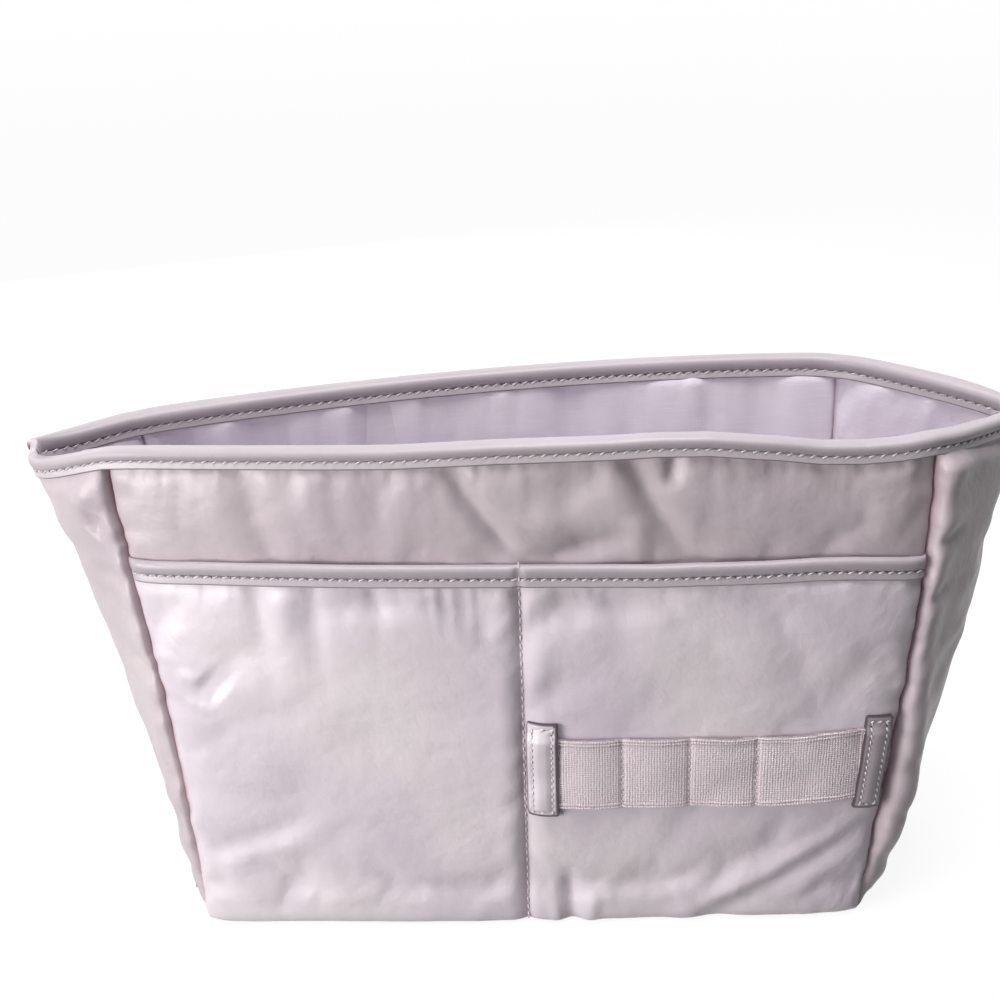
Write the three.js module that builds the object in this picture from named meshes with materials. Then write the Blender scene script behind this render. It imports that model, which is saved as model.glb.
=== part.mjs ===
// Soft purse organizer insert: padded cloth walls on a stiff base, ends that fold outwards along a crease,
// a bound rim, a divided slip pocket on the front and an elastic band sewn down into loops.
// Millimetres, +Z up. The front faces -Y and the origin is the middle of the underside.

import * as THREE from 'three';

// Overall sizes, over the outside of the cloth
const BASE_LENGTH = 252;
const BASE_DEPTH = 100;
const HEIGHT = 193;

// Cloth, foam and board
const SHELL_THICKNESS = 0.8;
const FOAM_THICKNESS = 2.4;
const LINING_THICKNESS = 0.8;
const BOARD_THICKNESS = 2.4;
const PLY_GAP = 0.3;
const SEAM_GAP = 0.4;
const FOOT_GAP = 0.6;
const BASE_ROLL = 6;
const BASE_CORNER = 5;

// Where the rim stands when the insert is left open: leans are measured from the edges of the base,
// drops from the height of the front rim
const FRONT_RIM_HALF = 139;
const FRONT_LEFT_LEAN = 14;
const FRONT_LEFT_DROP = 2.5;
const FRONT_RIGHT_LEAN = 1.5;
const FRONT_RIGHT_DROP = 0.5;
const FRONT_BELLY = 2;
const BACK_RIM_LEFT = 146;
const BACK_RIM_RIGHT = 127;
const BACK_LEFT_LEAN = 32;
const BACK_LEFT_DROP = 6.5;
const BACK_RIGHT_LEAN = -3.5;
const BACK_RIGHT_DROP = 1;
const BACK_BOW = 6.5;

// Creases of the folded ends: how far each stands out past its two seams at the rim, and how much further
// than a straight line it swells on the way up
const LEFT_CREASE_OUT = 31;
const LEFT_CREASE_DROP = 9.5;
const LEFT_CREASE_FORWARD = 4;
const LEFT_CREASE_SWELL = 0.3;
const RIGHT_CREASE_OUT = 43;
const RIGHT_CREASE_DROP = 5;
const RIGHT_CREASE_FORWARD = 9;
const RIGHT_CREASE_SWELL = 0.7;
const CREASE_RADIUS = 6;
const CREASE_FOOT_SOFTNESS = 2;

// Binding tape round the rim and along the pocket mouth
const TAPE_THICKNESS = 1;
const TAPE_GAP = 0.3;
const TAPE_SWELL = 0.5;
const RIM_TAPE_HEIGHT = 9.5;
const TAPE_LIP = 2.8;

// Slip pocket
const POCKET_HEIGHT = 149;
const POCKET_THICKNESS = 1.2;
const POCKET_TAPE_THICKNESS = 0.8;
const POCKET_TAPE_HEIGHT = 9;
const POCKET_GAPE = 5.4;

// Elastic band and the tabs over its ends
const ELASTIC_WIDTH = 28;
const ELASTIC_THICKNESS = 1.2;
const ELASTIC_MIDDLE_HEIGHT = 65.5;
const ELASTIC_FIRST_STITCH = 34;
const ELASTIC_STITCH_PITCH = 24;
const ELASTIC_STITCH_LINES = 3;
const ELASTIC_LOOP_RISE = 3;
const TAB_WIDTH = 10.7;
const TAB_HEIGHT = 38.3;
const TAB_THICKNESS = 1.2;
const TAB_MIDDLE_HEIGHT = 67;
const TAB_CORNER = 1.5;
const LEFT_TAB_START = 0.5;
const RIGHT_TAB_MARGIN = 1;

// Steps of the faceted surfaces
const FRONT_STEPS = 20;
const BACK_STEPS = 18;
const GUSSET_STEPS = 16;
const WALL_STEPS = 6;
const ROLL_STEPS = 5;
const LOOP_STEPS = 6;

// Sizes that follow
const WALL = SHELL_THICKNESS + FOAM_THICKNESS + LINING_THICKNESS + 2 * PLY_GAP;
const HALF_WALL = WALL / 2;
const HALF_LENGTH = BASE_LENGTH / 2 - HALF_WALL;
const HALF_DEPTH = BASE_DEPTH / 2 - HALF_WALL;
const RIM_ROLL = HALF_WALL + TAPE_GAP + TAPE_THICKNESS + TAPE_SWELL;
const WALL_FOOT = BASE_ROLL + FOOT_GAP;
const WALL_TOP = HEIGHT - RIM_ROLL;
const SHELL_FACE = HALF_WALL;
const POCKET_TAPE_ROLL = POCKET_THICKNESS / 2 + TAPE_GAP + POCKET_TAPE_THICKNESS;
const POCKET_TOP = POCKET_HEIGHT - POCKET_TAPE_ROLL - TAPE_SWELL;
const POCKET_FLAT_LIFT = PLY_GAP + POCKET_THICKNESS / 2;
const POCKET_MOUTH_LIFT = PLY_GAP + POCKET_TAPE_ROLL + TAPE_SWELL;

// Colours
const SATIN = { color: 0xc9bcc3, roughness: 0.42, metalness: 0 };
const LINING = { color: 0xc4b8bd, roughness: 0.5, metalness: 0 };
const LEATHERETTE = { color: 0xb3a7ad, roughness: 0.45, metalness: 0 };
const FOAM = { color: 0xe4dfdc, roughness: 0.95, metalness: 0 };
const BOARD = { color: 0x8c8580, roughness: 0.9, metalness: 0 };
const ELASTIC = { color: 0xbdb0b6, roughness: 0.75, metalness: 0 };

const mix = THREE.MathUtils.lerp;

// Corner posts: each runs from the base up to its place at the rim
const POSTS = {
  frontLeft: post(-HALF_LENGTH, -HALF_DEPTH, -FRONT_RIM_HALF, -HALF_DEPTH + FRONT_LEFT_LEAN, FRONT_LEFT_DROP),
  frontRight: post(HALF_LENGTH, -HALF_DEPTH, FRONT_RIM_HALF, -HALF_DEPTH + FRONT_RIGHT_LEAN, FRONT_RIGHT_DROP),
  backRight: post(HALF_LENGTH, HALF_DEPTH, BACK_RIM_RIGHT, HALF_DEPTH - BACK_RIGHT_LEAN, BACK_RIGHT_DROP),
  backLeft: post(-HALF_LENGTH, HALF_DEPTH, -BACK_RIM_LEFT, HALF_DEPTH - BACK_LEFT_LEAN, BACK_LEFT_DROP),
};

function post(footX, footY, topX, topY, drop) {
  return {
    foot: new THREE.Vector3(footX, footY, WALL_FOOT),
    top: new THREE.Vector3(topX, topY, WALL_TOP - drop),
  };
}

function along({ foot, top }, v) {
  return foot.clone().lerp(top, v);
}

// Surfaces of the four walls, halfway through the foam. t runs round the insert, anticlockwise from above,
// and v runs up from the foot at 0 to the cut edge under the binding at 1.

function frontSurface(t, v) {
  const left = along(POSTS.frontLeft, v);
  const right = along(POSTS.frontRight, v);
  const across = 2 * t - 1;
  const nearLeft = Math.max(-across, 0) ** 1.6;
  const nearRight = Math.max(across, 0) ** 1.6;
  const lean = nearLeft * (left.y + HALF_DEPTH) + nearRight * (right.y + HALF_DEPTH);
  const belly = FRONT_BELLY * (1 - across * across) * v;
  const drop = (nearLeft * FRONT_LEFT_DROP + nearRight * FRONT_RIGHT_DROP) * v;
  return new THREE.Vector3(mix(left.x, right.x, t), lean - belly - HALF_DEPTH, mix(WALL_FOOT, WALL_TOP, v) - drop);
}

function backSurface(t, v) {
  const right = along(POSTS.backRight, v);
  const left = along(POSTS.backLeft, v);
  const nearRight = (1 - t) ** 1.8;
  const nearLeft = t ** 1.8;
  const lean = nearLeft * (HALF_DEPTH - left.y) + nearRight * (HALF_DEPTH - right.y);
  const bow = BACK_BOW * 4 * t * (1 - t) * v;
  const drop = (nearLeft * BACK_LEFT_DROP + nearRight * BACK_RIGHT_DROP) * v;
  return new THREE.Vector3(mix(right.x, left.x, t), HALF_DEPTH - lean + bow, mix(WALL_FOOT, WALL_TOP, v) - drop);
}

// A folded end: two arms joined by a rounded crease. It starts flat at the base, swells out softly above it
// and tightens to a fold at the rim.
function gussetSurface(first, last, outward, crease) {
  const rimMiddle = first.top.clone().add(last.top).multiplyScalar(0.5);
  const tip = new THREE.Vector3(
    rimMiddle.x + outward * crease.out,
    rimMiddle.y - crease.forward,
    WALL_TOP - crease.drop,
  );
  const toFirst = first.top.clone().sub(tip);
  const toLast = last.top.clone().sub(tip);
  const halfAngle = toFirst.angleTo(toLast) / 2;
  const armLength = (toFirst.length() + toLast.length()) / 2;
  const rimSoftness = CREASE_RADIUS * Math.cos(halfAngle) / (armLength * Math.sin(halfAngle) ** 2);

  return (t, v) => {
    const start = along(first, v);
    const end = along(last, v);
    const foldFoot = first.foot.clone().add(last.foot).multiplyScalar(0.5);
    const fold = foldFoot.clone().lerp(tip, v);
    fold.x = mix(foldFoot.x, tip.x, v + crease.swell * v * (1 - v));
    const softness = mix(CREASE_FOOT_SOFTNESS, rimSoftness, v);
    const reach = Math.hypot(1, softness);
    const share = (s) => (s + Math.hypot(s, softness) - reach + 1) / 2;
    const tipShare = share(0);
    const corner = fold.clone().addScaledVector(start, -tipShare).addScaledVector(end, -tipShare);
    corner.divideScalar(1 - 2 * tipShare);
    const s = 2 * t - 1;
    return corner.clone()
      .addScaledVector(start.sub(corner), share(-s))
      .addScaledVector(end.sub(corner), share(s));
  };
}

const LEFT_CREASE = {
  out: LEFT_CREASE_OUT,
  drop: LEFT_CREASE_DROP,
  forward: LEFT_CREASE_FORWARD,
  swell: LEFT_CREASE_SWELL,
};
const RIGHT_CREASE = {
  out: RIGHT_CREASE_OUT,
  drop: RIGHT_CREASE_DROP,
  forward: RIGHT_CREASE_FORWARD,
  swell: RIGHT_CREASE_SWELL,
};

const WALLS = {
  front: { surface: frontSurface, stations: evenStations(FRONT_STEPS), before: 'left', after: 'right' },
  right: {
    surface: gussetSurface(POSTS.frontRight, POSTS.backRight, 1, RIGHT_CREASE),
    stations: creaseStations(),
    before: 'front',
    after: 'back',
  },
  back: { surface: backSurface, stations: evenStations(BACK_STEPS), before: 'right', after: 'left' },
  left: {
    surface: gussetSurface(POSTS.backLeft, POSTS.frontLeft, -1, LEFT_CREASE),
    stations: creaseStations(),
    before: 'back',
    after: 'front',
  },
};

function evenStations(steps) {
  return Array.from({ length: steps + 1 }, (_, i) => i / steps);
}

// Closer together round the crease in the middle
function creaseStations() {
  return evenStations(GUSSET_STEPS).map((t) => {
    const s = 2 * t - 1;
    return (1 + Math.sign(s) * Math.abs(s) ** 1.6) / 2;
  });
}

// Direction out of a wall at one place, by small steps along its surface. The foot of a wall is cut level.
function outwardNormal(wall, t, v) {
  const step = 1e-3;
  const t0 = Math.max(t - step, 0);
  const t1 = Math.min(t + step, 1);
  const v0 = Math.max(v - step, 0);
  const round = wall.surface(t1, v).sub(wall.surface(t0, v));
  const up = wall.surface(t, v0 + 2 * step).sub(wall.surface(t, v0));
  const normal = round.cross(up);
  if (v === 0) normal.z = 0;
  return normal.normalize();
}

// A point at a distance out from the middle of a wall. At a seam the two walls share a mitre, and each stops
// half the seam gap short of it.
function wallPoint(name, t, v, out) {
  const wall = WALLS[name];
  const normal = outwardNormal(wall, t, v);
  const place = wall.surface(t, v);
  if (t > 0 && t < 1) return place.addScaledVector(normal, out);
  const neighbour = WALLS[t === 0 ? wall.before : wall.after];
  const other = outwardNormal(neighbour, 1 - t, v);
  const mitre = normal.clone().add(other).divideScalar(1 + normal.dot(other));
  const inner = wall.surface(Math.abs(t - 0.02), v).sub(place).normalize();
  return place.addScaledVector(mitre, out).addScaledVector(inner, SEAM_GAP / 2);
}

function wallLength(name, t) {
  const { surface } = WALLS[name];
  return surface(t, 1).distanceTo(surface(t, 0));
}

// A closed solid through a row of loops that all have the same number of points. Both faces of a ply are
// split along the same diagonals, so plies that are twisted together keep their gap.
function loft(loops, capFaces) {
  const count = loops[0].length;
  const index = [];
  for (let i = 0; i + 1 < loops.length; i += 1) {
    for (let j = 0; j < count; j += 1) {
      const a = i * count + j;
      const b = i * count + (j + 1) % count;
      const rising = loops[i][(j + 1) % count].z >= loops[i][j].z;
      if (rising) {
        index.push(a, a + count, b, b, a + count, b + count);
      } else {
        index.push(a, a + count, b + count, a, b + count, b);
      }
    }
  }
  const last = (loops.length - 1) * count;
  for (const [a, b, c] of capFaces) {
    index.push(a, b, c, last + a, last + c, last + b);
  }
  const points = loops.flat();
  const turned = signedVolume(points, index) < 0 ? index.reverse() : index;
  const geometry = new THREE.BufferGeometry().setFromPoints(points);
  geometry.setIndex(turned);
  geometry.computeVertexNormals();
  return geometry;
}

function signedVolume(points, index) {
  let sum = 0;
  for (let i = 0; i < index.length; i += 3) {
    const [a, b, c] = [points[index[i]], points[index[i + 1]], points[index[i + 2]]];
    sum += a.dot(b.clone().cross(c));
  }
  return sum;
}

// Cap of a profile, wound to match the first loop of a loft
function profileFaces(profile) {
  const flat = profile.map(([x, y]) => new THREE.Vector2(x, y));
  const faces = THREE.ShapeUtils.triangulateShape(flat, []);
  const faceArea = ([a, b, c]) => flat[b].clone().sub(flat[a]).cross(flat[c].clone().sub(flat[a]));
  const sameWay = THREE.ShapeUtils.area(flat) * faces.reduce((sum, face) => sum + faceArea(face), 0) > 0;
  return sameWay ? faces : faces.map(([a, b, c]) => [a, c, b]);
}

// Section of a sheet: up its outer face and down its inner face, as pairs of distance out and level
function plySection(inner, outer, levels) {
  return [...levels.map((level) => [outer, level]), ...levels.toReversed().map((level) => [inner, level])];
}

// End faces of a sheet, split the same way on both sides of a seam
function plyFaces(levels) {
  const last = 2 * levels.length - 1;
  const faces = [];
  for (let j = 0; j + 1 < levels.length; j += 1) {
    faces.push([j, j + 1, last - j - 1], [j, last - j - 1, last - j]);
  }
  return faces;
}

// Levels up a wall, with one at the lip of the binding
function wallLevels() {
  const lip = 1 - (RIM_TAPE_HEIGHT - RIM_ROLL) / (WALL_TOP - WALL_FOOT);
  return [...evenStations(WALL_STEPS).map((share) => share * lip), 1];
}

// One ply of a wall, from the inner to the outer distance off its middle
function wallPly(name, inner, outer) {
  const levels = wallLevels();
  const section = plySection(inner, outer, levels);
  const loops = WALLS[name].stations.map((t) => section.map(([out, v]) => wallPoint(name, t, v, out)));
  return loft(loops, plyFaces(levels));
}

// Section of a folded tape: a lip on each side, swelling into a round roll over the edge that it covers.
// Pairs are the distance out from the middle of the covered edge and the height above that edge.
function tapeSection(halfEdge, thickness, height, innerSwell) {
  const inside = halfEdge + TAPE_GAP;
  const lipFace = inside + thickness;
  const roll = lipFace + TAPE_SWELL;
  const backRoll = lipFace + innerSwell;
  const foot = roll - height;
  const section = [[lipFace, foot], [lipFace, foot + TAPE_LIP]];
  for (let i = 0; i <= ROLL_STEPS; i += 1) {
    const turn = Math.PI * i / ROLL_STEPS;
    const reach = Math.cos(turn) > 0 ? roll : backRoll;
    section.push([reach * Math.cos(turn), roll * Math.sin(turn)]);
  }
  section.push([-lipFace, foot + TAPE_LIP], [-lipFace, foot]);
  section.push([-inside, foot], [-inside, TAPE_GAP], [inside, TAPE_GAP], [inside, foot]);
  return section;
}

function rimTape(name) {
  const section = tapeSection(HALF_WALL, TAPE_THICKNESS, RIM_TAPE_HEIGHT, TAPE_SWELL);
  const loops = WALLS[name].stations.map((t) => {
    const length = wallLength(name, t);
    return section.map(([out, above]) => wallPoint(name, t, 1 + above / length, out));
  });
  return loft(loops, profileFaces(section));
}

// The slip pocket lies close to the wall at its sides, foot and middle, and gapes between them at the mouth.
function pocketLift(t, v) {
  const rise = v / pocketEdge(t);
  const gape = Math.sin(2 * Math.PI * t) ** 2;
  const open = THREE.MathUtils.clamp(rise, 0, 1);
  return SHELL_FACE + mix(POCKET_FLAT_LIFT, POCKET_MOUTH_LIFT, open) + POCKET_GAPE * gape * open ** 1.5;
}

function pocketEdge(t) {
  return (POCKET_TOP - WALL_FOOT) / wallLength('front', t);
}

function pocketPanel() {
  const levels = evenStations(WALL_STEPS);
  const section = plySection(-POCKET_THICKNESS / 2, POCKET_THICKNESS / 2, levels);
  const loops = WALLS.front.stations.map((t) => section.map(([out, share]) => {
    const v = share * pocketEdge(t);
    return wallPoint('front', t, v, pocketLift(t, v) + out);
  }));
  return loft(loops, plyFaces(levels));
}

function pocketTape() {
  const section = tapeSection(POCKET_THICKNESS / 2, POCKET_TAPE_THICKNESS, POCKET_TAPE_HEIGHT, 0);
  const loops = WALLS.front.stations.map((t) => section.map(([out, above]) => {
    const v = pocketEdge(t) + above / wallLength('front', t);
    return wallPoint('front', t, v, pocketLift(t, v) + out);
  }));
  return loft(loops, profileFaces(section));
}

// A point over the outer face of the pocket, by its place along the wall and its height
function overPocket(x, z, out) {
  const v = (z - WALL_FOOT) / (WALL_TOP - WALL_FOOT);
  const left = frontSurface(0, v).x;
  const right = frontSurface(1, v).x;
  const t = (x - left) / (right - left);
  return wallPoint('front', t, v, pocketLift(t, v) + POCKET_THICKNESS / 2 + out);
}

// The right tab stands beside the side seam.
function rightTabStart() {
  const low = TAB_MIDDLE_HEIGHT - TAB_HEIGHT / 2;
  const v = (low - WALL_FOOT) / (WALL_TOP - WALL_FOOT);
  return frontSurface(1, v).x - RIGHT_TAB_MARGIN - TAB_WIDTH;
}

// Lines that hold the elastic down: its two ends under the tabs and the stitch rows between them
function elasticLines() {
  const rows = Array.from({ length: ELASTIC_STITCH_LINES }, (_, i) => ELASTIC_FIRST_STITCH + i * ELASTIC_STITCH_PITCH);
  return [LEFT_TAB_START + TAB_WIDTH, ...rows, rightTabStart()];
}

function elasticBand() {
  const foot = ELASTIC_MIDDLE_HEIGHT - ELASTIC_WIDTH / 2;
  const levels = [0, 0.5, 1].map((share) => foot + share * ELASTIC_WIDTH);
  const section = plySection(PLY_GAP, PLY_GAP + ELASTIC_THICKNESS, levels);
  const stops = [[LEFT_TAB_START + 1, 0]];
  const lines = elasticLines();
  for (let i = 0; i + 1 < lines.length; i += 1) {
    for (let k = 0; k < LOOP_STEPS; k += 1) {
      const share = k / LOOP_STEPS;
      stops.push([mix(lines[i], lines[i + 1], share), ELASTIC_LOOP_RISE * Math.sin(Math.PI * share)]);
    }
  }
  stops.push([lines.at(-1), 0], [lines.at(-1) + TAB_WIDTH - 1, 0]);
  const loops = stops.map(([x, rise]) => section.map(([out, z]) => overPocket(x, z, out + rise)));
  return loft(loops, plyFaces(levels));
}

// A tab lies on the pocket above and below the elastic and steps up over its end.
function elasticTab(start) {
  const low = TAB_MIDDLE_HEIGHT - TAB_HEIGHT / 2;
  const high = TAB_MIDDLE_HEIGHT + TAB_HEIGHT / 2;
  const bandLow = ELASTIC_MIDDLE_HEIGHT - ELASTIC_WIDTH / 2 - PLY_GAP;
  const bandHigh = ELASTIC_MIDDLE_HEIGHT + ELASTIC_WIDTH / 2 + PLY_GAP;
  const step = PLY_GAP + ELASTIC_THICKNESS + PLY_GAP;
  const profile = [
    [PLY_GAP, low], [PLY_GAP, bandLow], [step, bandLow], [step, bandHigh], [PLY_GAP, bandHigh], [PLY_GAP, high],
    [PLY_GAP + TAB_THICKNESS, high], [step + TAB_THICKNESS, bandHigh + TAB_THICKNESS],
    [step + TAB_THICKNESS, bandLow - TAB_THICKNESS], [PLY_GAP + TAB_THICKNESS, low],
  ];
  const places = [0, TAB_CORNER / TAB_WIDTH, 0.5, 1 - TAB_CORNER / TAB_WIDTH, 1];
  const loops = places.map((share) => {
    const trim = share === 0 || share === 1 ? TAB_CORNER : 0;
    return profile.map(([out, z]) => {
      const end = z === low ? trim : z === high ? -trim : 0;
      return overPocket(start + share * TAB_WIDTH, z + end, out);
    });
  });
  return loft(loops, profileFaces(profile));
}

// Outline of the base, drawn in from its outer edge, at one height
function baseLoop(inset, z) {
  const corner = Math.max(BASE_CORNER - inset, 0.5);
  const halfX = BASE_LENGTH / 2 - inset - corner;
  const halfY = BASE_DEPTH / 2 - inset - corner;
  const loop = [];
  for (const [signX, signY, turn] of [[1, 1, 0], [-1, 1, 1], [-1, -1, 2], [1, -1, 3]]) {
    for (let i = 0; i <= 3; i += 1) {
      const angle = (turn + i / 3) * Math.PI / 2;
      const x = signX * halfX + corner * Math.cos(angle);
      const y = signY * halfY + corner * Math.sin(angle);
      loop.push(new THREE.Vector3(x, y, z));
    }
  }
  return loop;
}

function baseFaces() {
  return profileFaces(baseLoop(0, 0).map(({ x, y }) => [x, y]));
}

// The bottom cloth rolls up all round to meet the feet of the walls.
function baseTray() {
  const loops = [];
  for (let i = 0; i <= ROLL_STEPS; i += 1) {
    const turn = Math.PI / 2 * i / ROLL_STEPS;
    loops.push(baseLoop(BASE_ROLL * (1 - Math.sin(turn)), BASE_ROLL * (1 - Math.cos(turn))));
  }
  const innerRoll = BASE_ROLL - SHELL_THICKNESS;
  for (let i = ROLL_STEPS; i >= 0; i -= 1) {
    const turn = Math.PI / 2 * i / ROLL_STEPS;
    loops.push(baseLoop(BASE_ROLL - innerRoll * Math.sin(turn), BASE_ROLL - innerRoll * Math.cos(turn)));
  }
  return loft(loops, baseFaces());
}

// A flat sheet that lies inside the tray with the ply gap to the rolled edge
function baseSheet(bottom, thickness) {
  const innerRoll = BASE_ROLL - SHELL_THICKNESS - PLY_GAP;
  const fall = Math.max(BASE_ROLL - bottom, 0);
  const inset = BASE_ROLL - Math.sqrt(Math.max(innerRoll ** 2 - fall ** 2, 0));
  return loft([baseLoop(inset, bottom), baseLoop(inset, bottom + thickness)], baseFaces());
}

const insert = new THREE.Group();

function add(name, finish, geometry) {
  const mesh = new THREE.Mesh(geometry, new THREE.MeshStandardMaterial(finish));
  mesh.name = name;
  insert.add(mesh);
}

const BOARD_BOTTOM = SHELL_THICKNESS + PLY_GAP;
const BASE_LINING_BOTTOM = BOARD_BOTTOM + BOARD_THICKNESS + PLY_GAP;
add('base_shell', SATIN, baseTray());
add('base_board', BOARD, baseSheet(BOARD_BOTTOM, BOARD_THICKNESS));
add('base_lining', LINING, baseSheet(BASE_LINING_BOTTOM, LINING_THICKNESS));

for (const [name, prefix] of [['front', 'front'], ['back', 'back'], ['left', 'left_gusset'], ['right', 'right_gusset']]) {
  const liningFace = -HALF_WALL;
  const foamBack = liningFace + LINING_THICKNESS + PLY_GAP;
  add(`${prefix}_shell`, SATIN, wallPly(name, SHELL_FACE - SHELL_THICKNESS, SHELL_FACE));
  add(`${prefix}_foam`, FOAM, wallPly(name, foamBack, foamBack + FOAM_THICKNESS));
  add(`${prefix}_lining`, LINING, wallPly(name, liningFace, liningFace + LINING_THICKNESS));
  add(`${name}_rim_binding`, LEATHERETTE, rimTape(name));
}

add('front_pocket', SATIN, pocketPanel());
add('pocket_binding', LEATHERETTE, pocketTape());
add('elastic_band', ELASTIC, elasticBand());
add('elastic_tab_left', LEATHERETTE, elasticTab(LEFT_TAB_START));
add('elastic_tab_right', LEATHERETTE, elasticTab(rightTabStart()));

export default insert;
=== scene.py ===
"""Looks of a purse organizer insert: satin walls, bound rim, slip pocket and elastic loops round its frame.

Sizes are in millimetres, as the construction has them, and meshes are made in metres.
"""

import logging
import math
from dataclasses import dataclass, field
from enum import Enum
from typing import ClassVar

import bpy
import numpy as np
from mathutils import Matrix, Vector


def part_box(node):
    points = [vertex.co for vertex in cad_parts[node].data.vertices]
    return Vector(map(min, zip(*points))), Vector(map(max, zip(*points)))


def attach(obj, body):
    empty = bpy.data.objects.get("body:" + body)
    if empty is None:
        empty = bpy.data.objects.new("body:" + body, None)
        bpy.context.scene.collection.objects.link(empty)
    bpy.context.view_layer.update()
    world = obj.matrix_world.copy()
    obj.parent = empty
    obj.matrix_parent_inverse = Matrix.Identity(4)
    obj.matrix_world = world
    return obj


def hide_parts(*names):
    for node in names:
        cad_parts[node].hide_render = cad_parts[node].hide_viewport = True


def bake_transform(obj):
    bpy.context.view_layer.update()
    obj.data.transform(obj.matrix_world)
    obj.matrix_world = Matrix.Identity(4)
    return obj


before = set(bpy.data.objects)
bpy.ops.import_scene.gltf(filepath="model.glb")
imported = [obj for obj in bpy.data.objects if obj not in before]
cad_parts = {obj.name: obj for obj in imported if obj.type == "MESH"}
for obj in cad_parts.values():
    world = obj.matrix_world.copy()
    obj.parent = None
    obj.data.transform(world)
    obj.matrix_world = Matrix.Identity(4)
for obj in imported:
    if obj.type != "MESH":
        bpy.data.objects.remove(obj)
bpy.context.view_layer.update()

MM = 0.001
Array = np.ndarray
Piece = bpy.types.Object
Material = bpy.types.Material
Socket = bpy.types.NodeSocket
Colour = tuple[int, int, int]
Spot = tuple[float, float, float]
Table = tuple[tuple[float, float], ...]
Inputs = dict[str | int, object]
log = logging.getLogger("organizer")


# Small helpers


def mix(first: Array | float, second: Array | float, share: Array | float) -> Array | float:
    """Straight blend from the first value to the second."""
    return first + (second - first) * share


def ease(low: float, high: float, value: Array) -> Array:
    """Smooth step from 0 at low to 1 at high."""
    share = np.clip((value - low) / (high - low), 0, 1)
    return share * share * (3 - 2 * share)


def unit(vectors: Array) -> Array:
    """The same directions with a length of 1."""
    return vectors / np.maximum(np.linalg.norm(vectors, axis=-1, keepdims=True), 1e-12)


def noise(first: Array, second: Array, cell: tuple[float, float], seed: int) -> Array:
    """Smooth random field from -1 to 1.

    Args:
        first: first coordinate of each place.
        second: second coordinate of each place.
        cell: distance over which the field changes, along each coordinate.
        seed: fixed seed of the field.

    Returns:
        The field at each place.
    """
    size, shift = 128, (0.37 * seed, 0.61 * seed)
    table = np.random.default_rng(seed).uniform(-1, 1, (size, size))
    p, q = np.broadcast_arrays(first / cell[0] + shift[0], second / cell[1] + shift[1])
    i, j = np.floor(p).astype(int), np.floor(q).astype(int)
    f, g = ease(0, 1, p - i), ease(0, 1, q - j)
    low = mix(table[i % size, j % size], table[(i + 1) % size, j % size], f)
    high = mix(table[i % size, (j + 1) % size], table[(i + 1) % size, (j + 1) % size], f)
    return mix(low, high, g)


def puckers(along: Array, away: Array, pitch: float, reach: float, seed: int) -> Array:
    """Short gathers that run off a sewn line and die out, from -1 to 1.

    Args:
        along: place along the line.
        away: distance from the line.
        pitch: usual distance between two gathers.
        reach: usual length of a gather.
        seed: fixed seed.

    Returns:
        Relief of the gathers at each place.
    """
    slant, even, odd, spread = 0.25, 0.65, 0.35, 0.6
    zero = np.zeros_like(along)
    drift = along + slant * away * noise(along, zero, (5 * pitch, 1), seed + 3)
    strength = even + odd * noise(along, zero, (4 * pitch, 1), seed + 1)
    length = reach * (1 + spread * noise(along, zero, (1.7 * pitch, 1), seed + 2))
    return noise(drift, zero, (0.5 * pitch, 1), seed) * strength * np.exp(-np.maximum(away, 0) / length)


def pillow(away: Array, reach: float) -> Array:
    """Rounded edge of padding: 0 at a seam, 1 from the reach inwards."""
    share = np.clip(away / reach, 0, 1)
    return np.sqrt(1 - (1 - share) ** 2)


def seam_line(away: Array) -> Array:
    """Painted shade of a seam: a dark line in the valley, partly the thread and partly painted shade, and a
    softer painted shade beside it.
    """
    thread_width, tint, shade_reach = 0.42, 0.32, 1.5
    return np.clip(np.exp(-((away / thread_width) ** 2)) + tint * np.exp(-away / shade_reach), 0, 1)


def grid_normals(points: Array) -> Array:
    """Directions out of a grid whose first axis runs to the right and second up, seen from outside."""
    return unit(np.cross(np.gradient(points, axis=0), np.gradient(points, axis=1)))


def arc_lengths(points: Array) -> Array:
    """Distance from the first column of a grid, along each row."""
    steps = np.linalg.norm(np.diff(points, axis=0), axis=-1)
    return np.concatenate([np.zeros((1, steps.shape[1])), np.cumsum(steps, axis=0)])


def seam_distance(points: Array) -> tuple[Array, Array]:
    """Distance along each row of a grid, and distance from the nearer of its two side seams."""
    place = arc_lengths(points)
    return place, np.minimum(place, place[-1:] - place)


def bell(away: Array, width: float) -> Array:
    """1 at a place, falling off smoothly over a width."""
    return np.exp(-((away / width) ** 2))


def read_off(table: Table, place: Array) -> Array:
    """Value of a table of places and values, straight between its rows."""
    return np.interp(place, *zip(*table))


# Plies of a wall


@dataclass(frozen=True)
class Layers:
    """Distances of the plies from the middle of a wall, out positive."""

    face: float = 2.3
    seam: float = 0.3
    back: float = -0.9
    lining: float = -2.3
    lining_back: float = -1.3
    lip: float = 4.6
    cloth: float = 0.8


LAYERS = Layers()


# Folds that show in the cloth


class FoldKind(Enum):
    """How a fold is shaped across its line."""

    DENT = "dent"
    RIDGE = "ridge"
    LEE = "lee"


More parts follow.
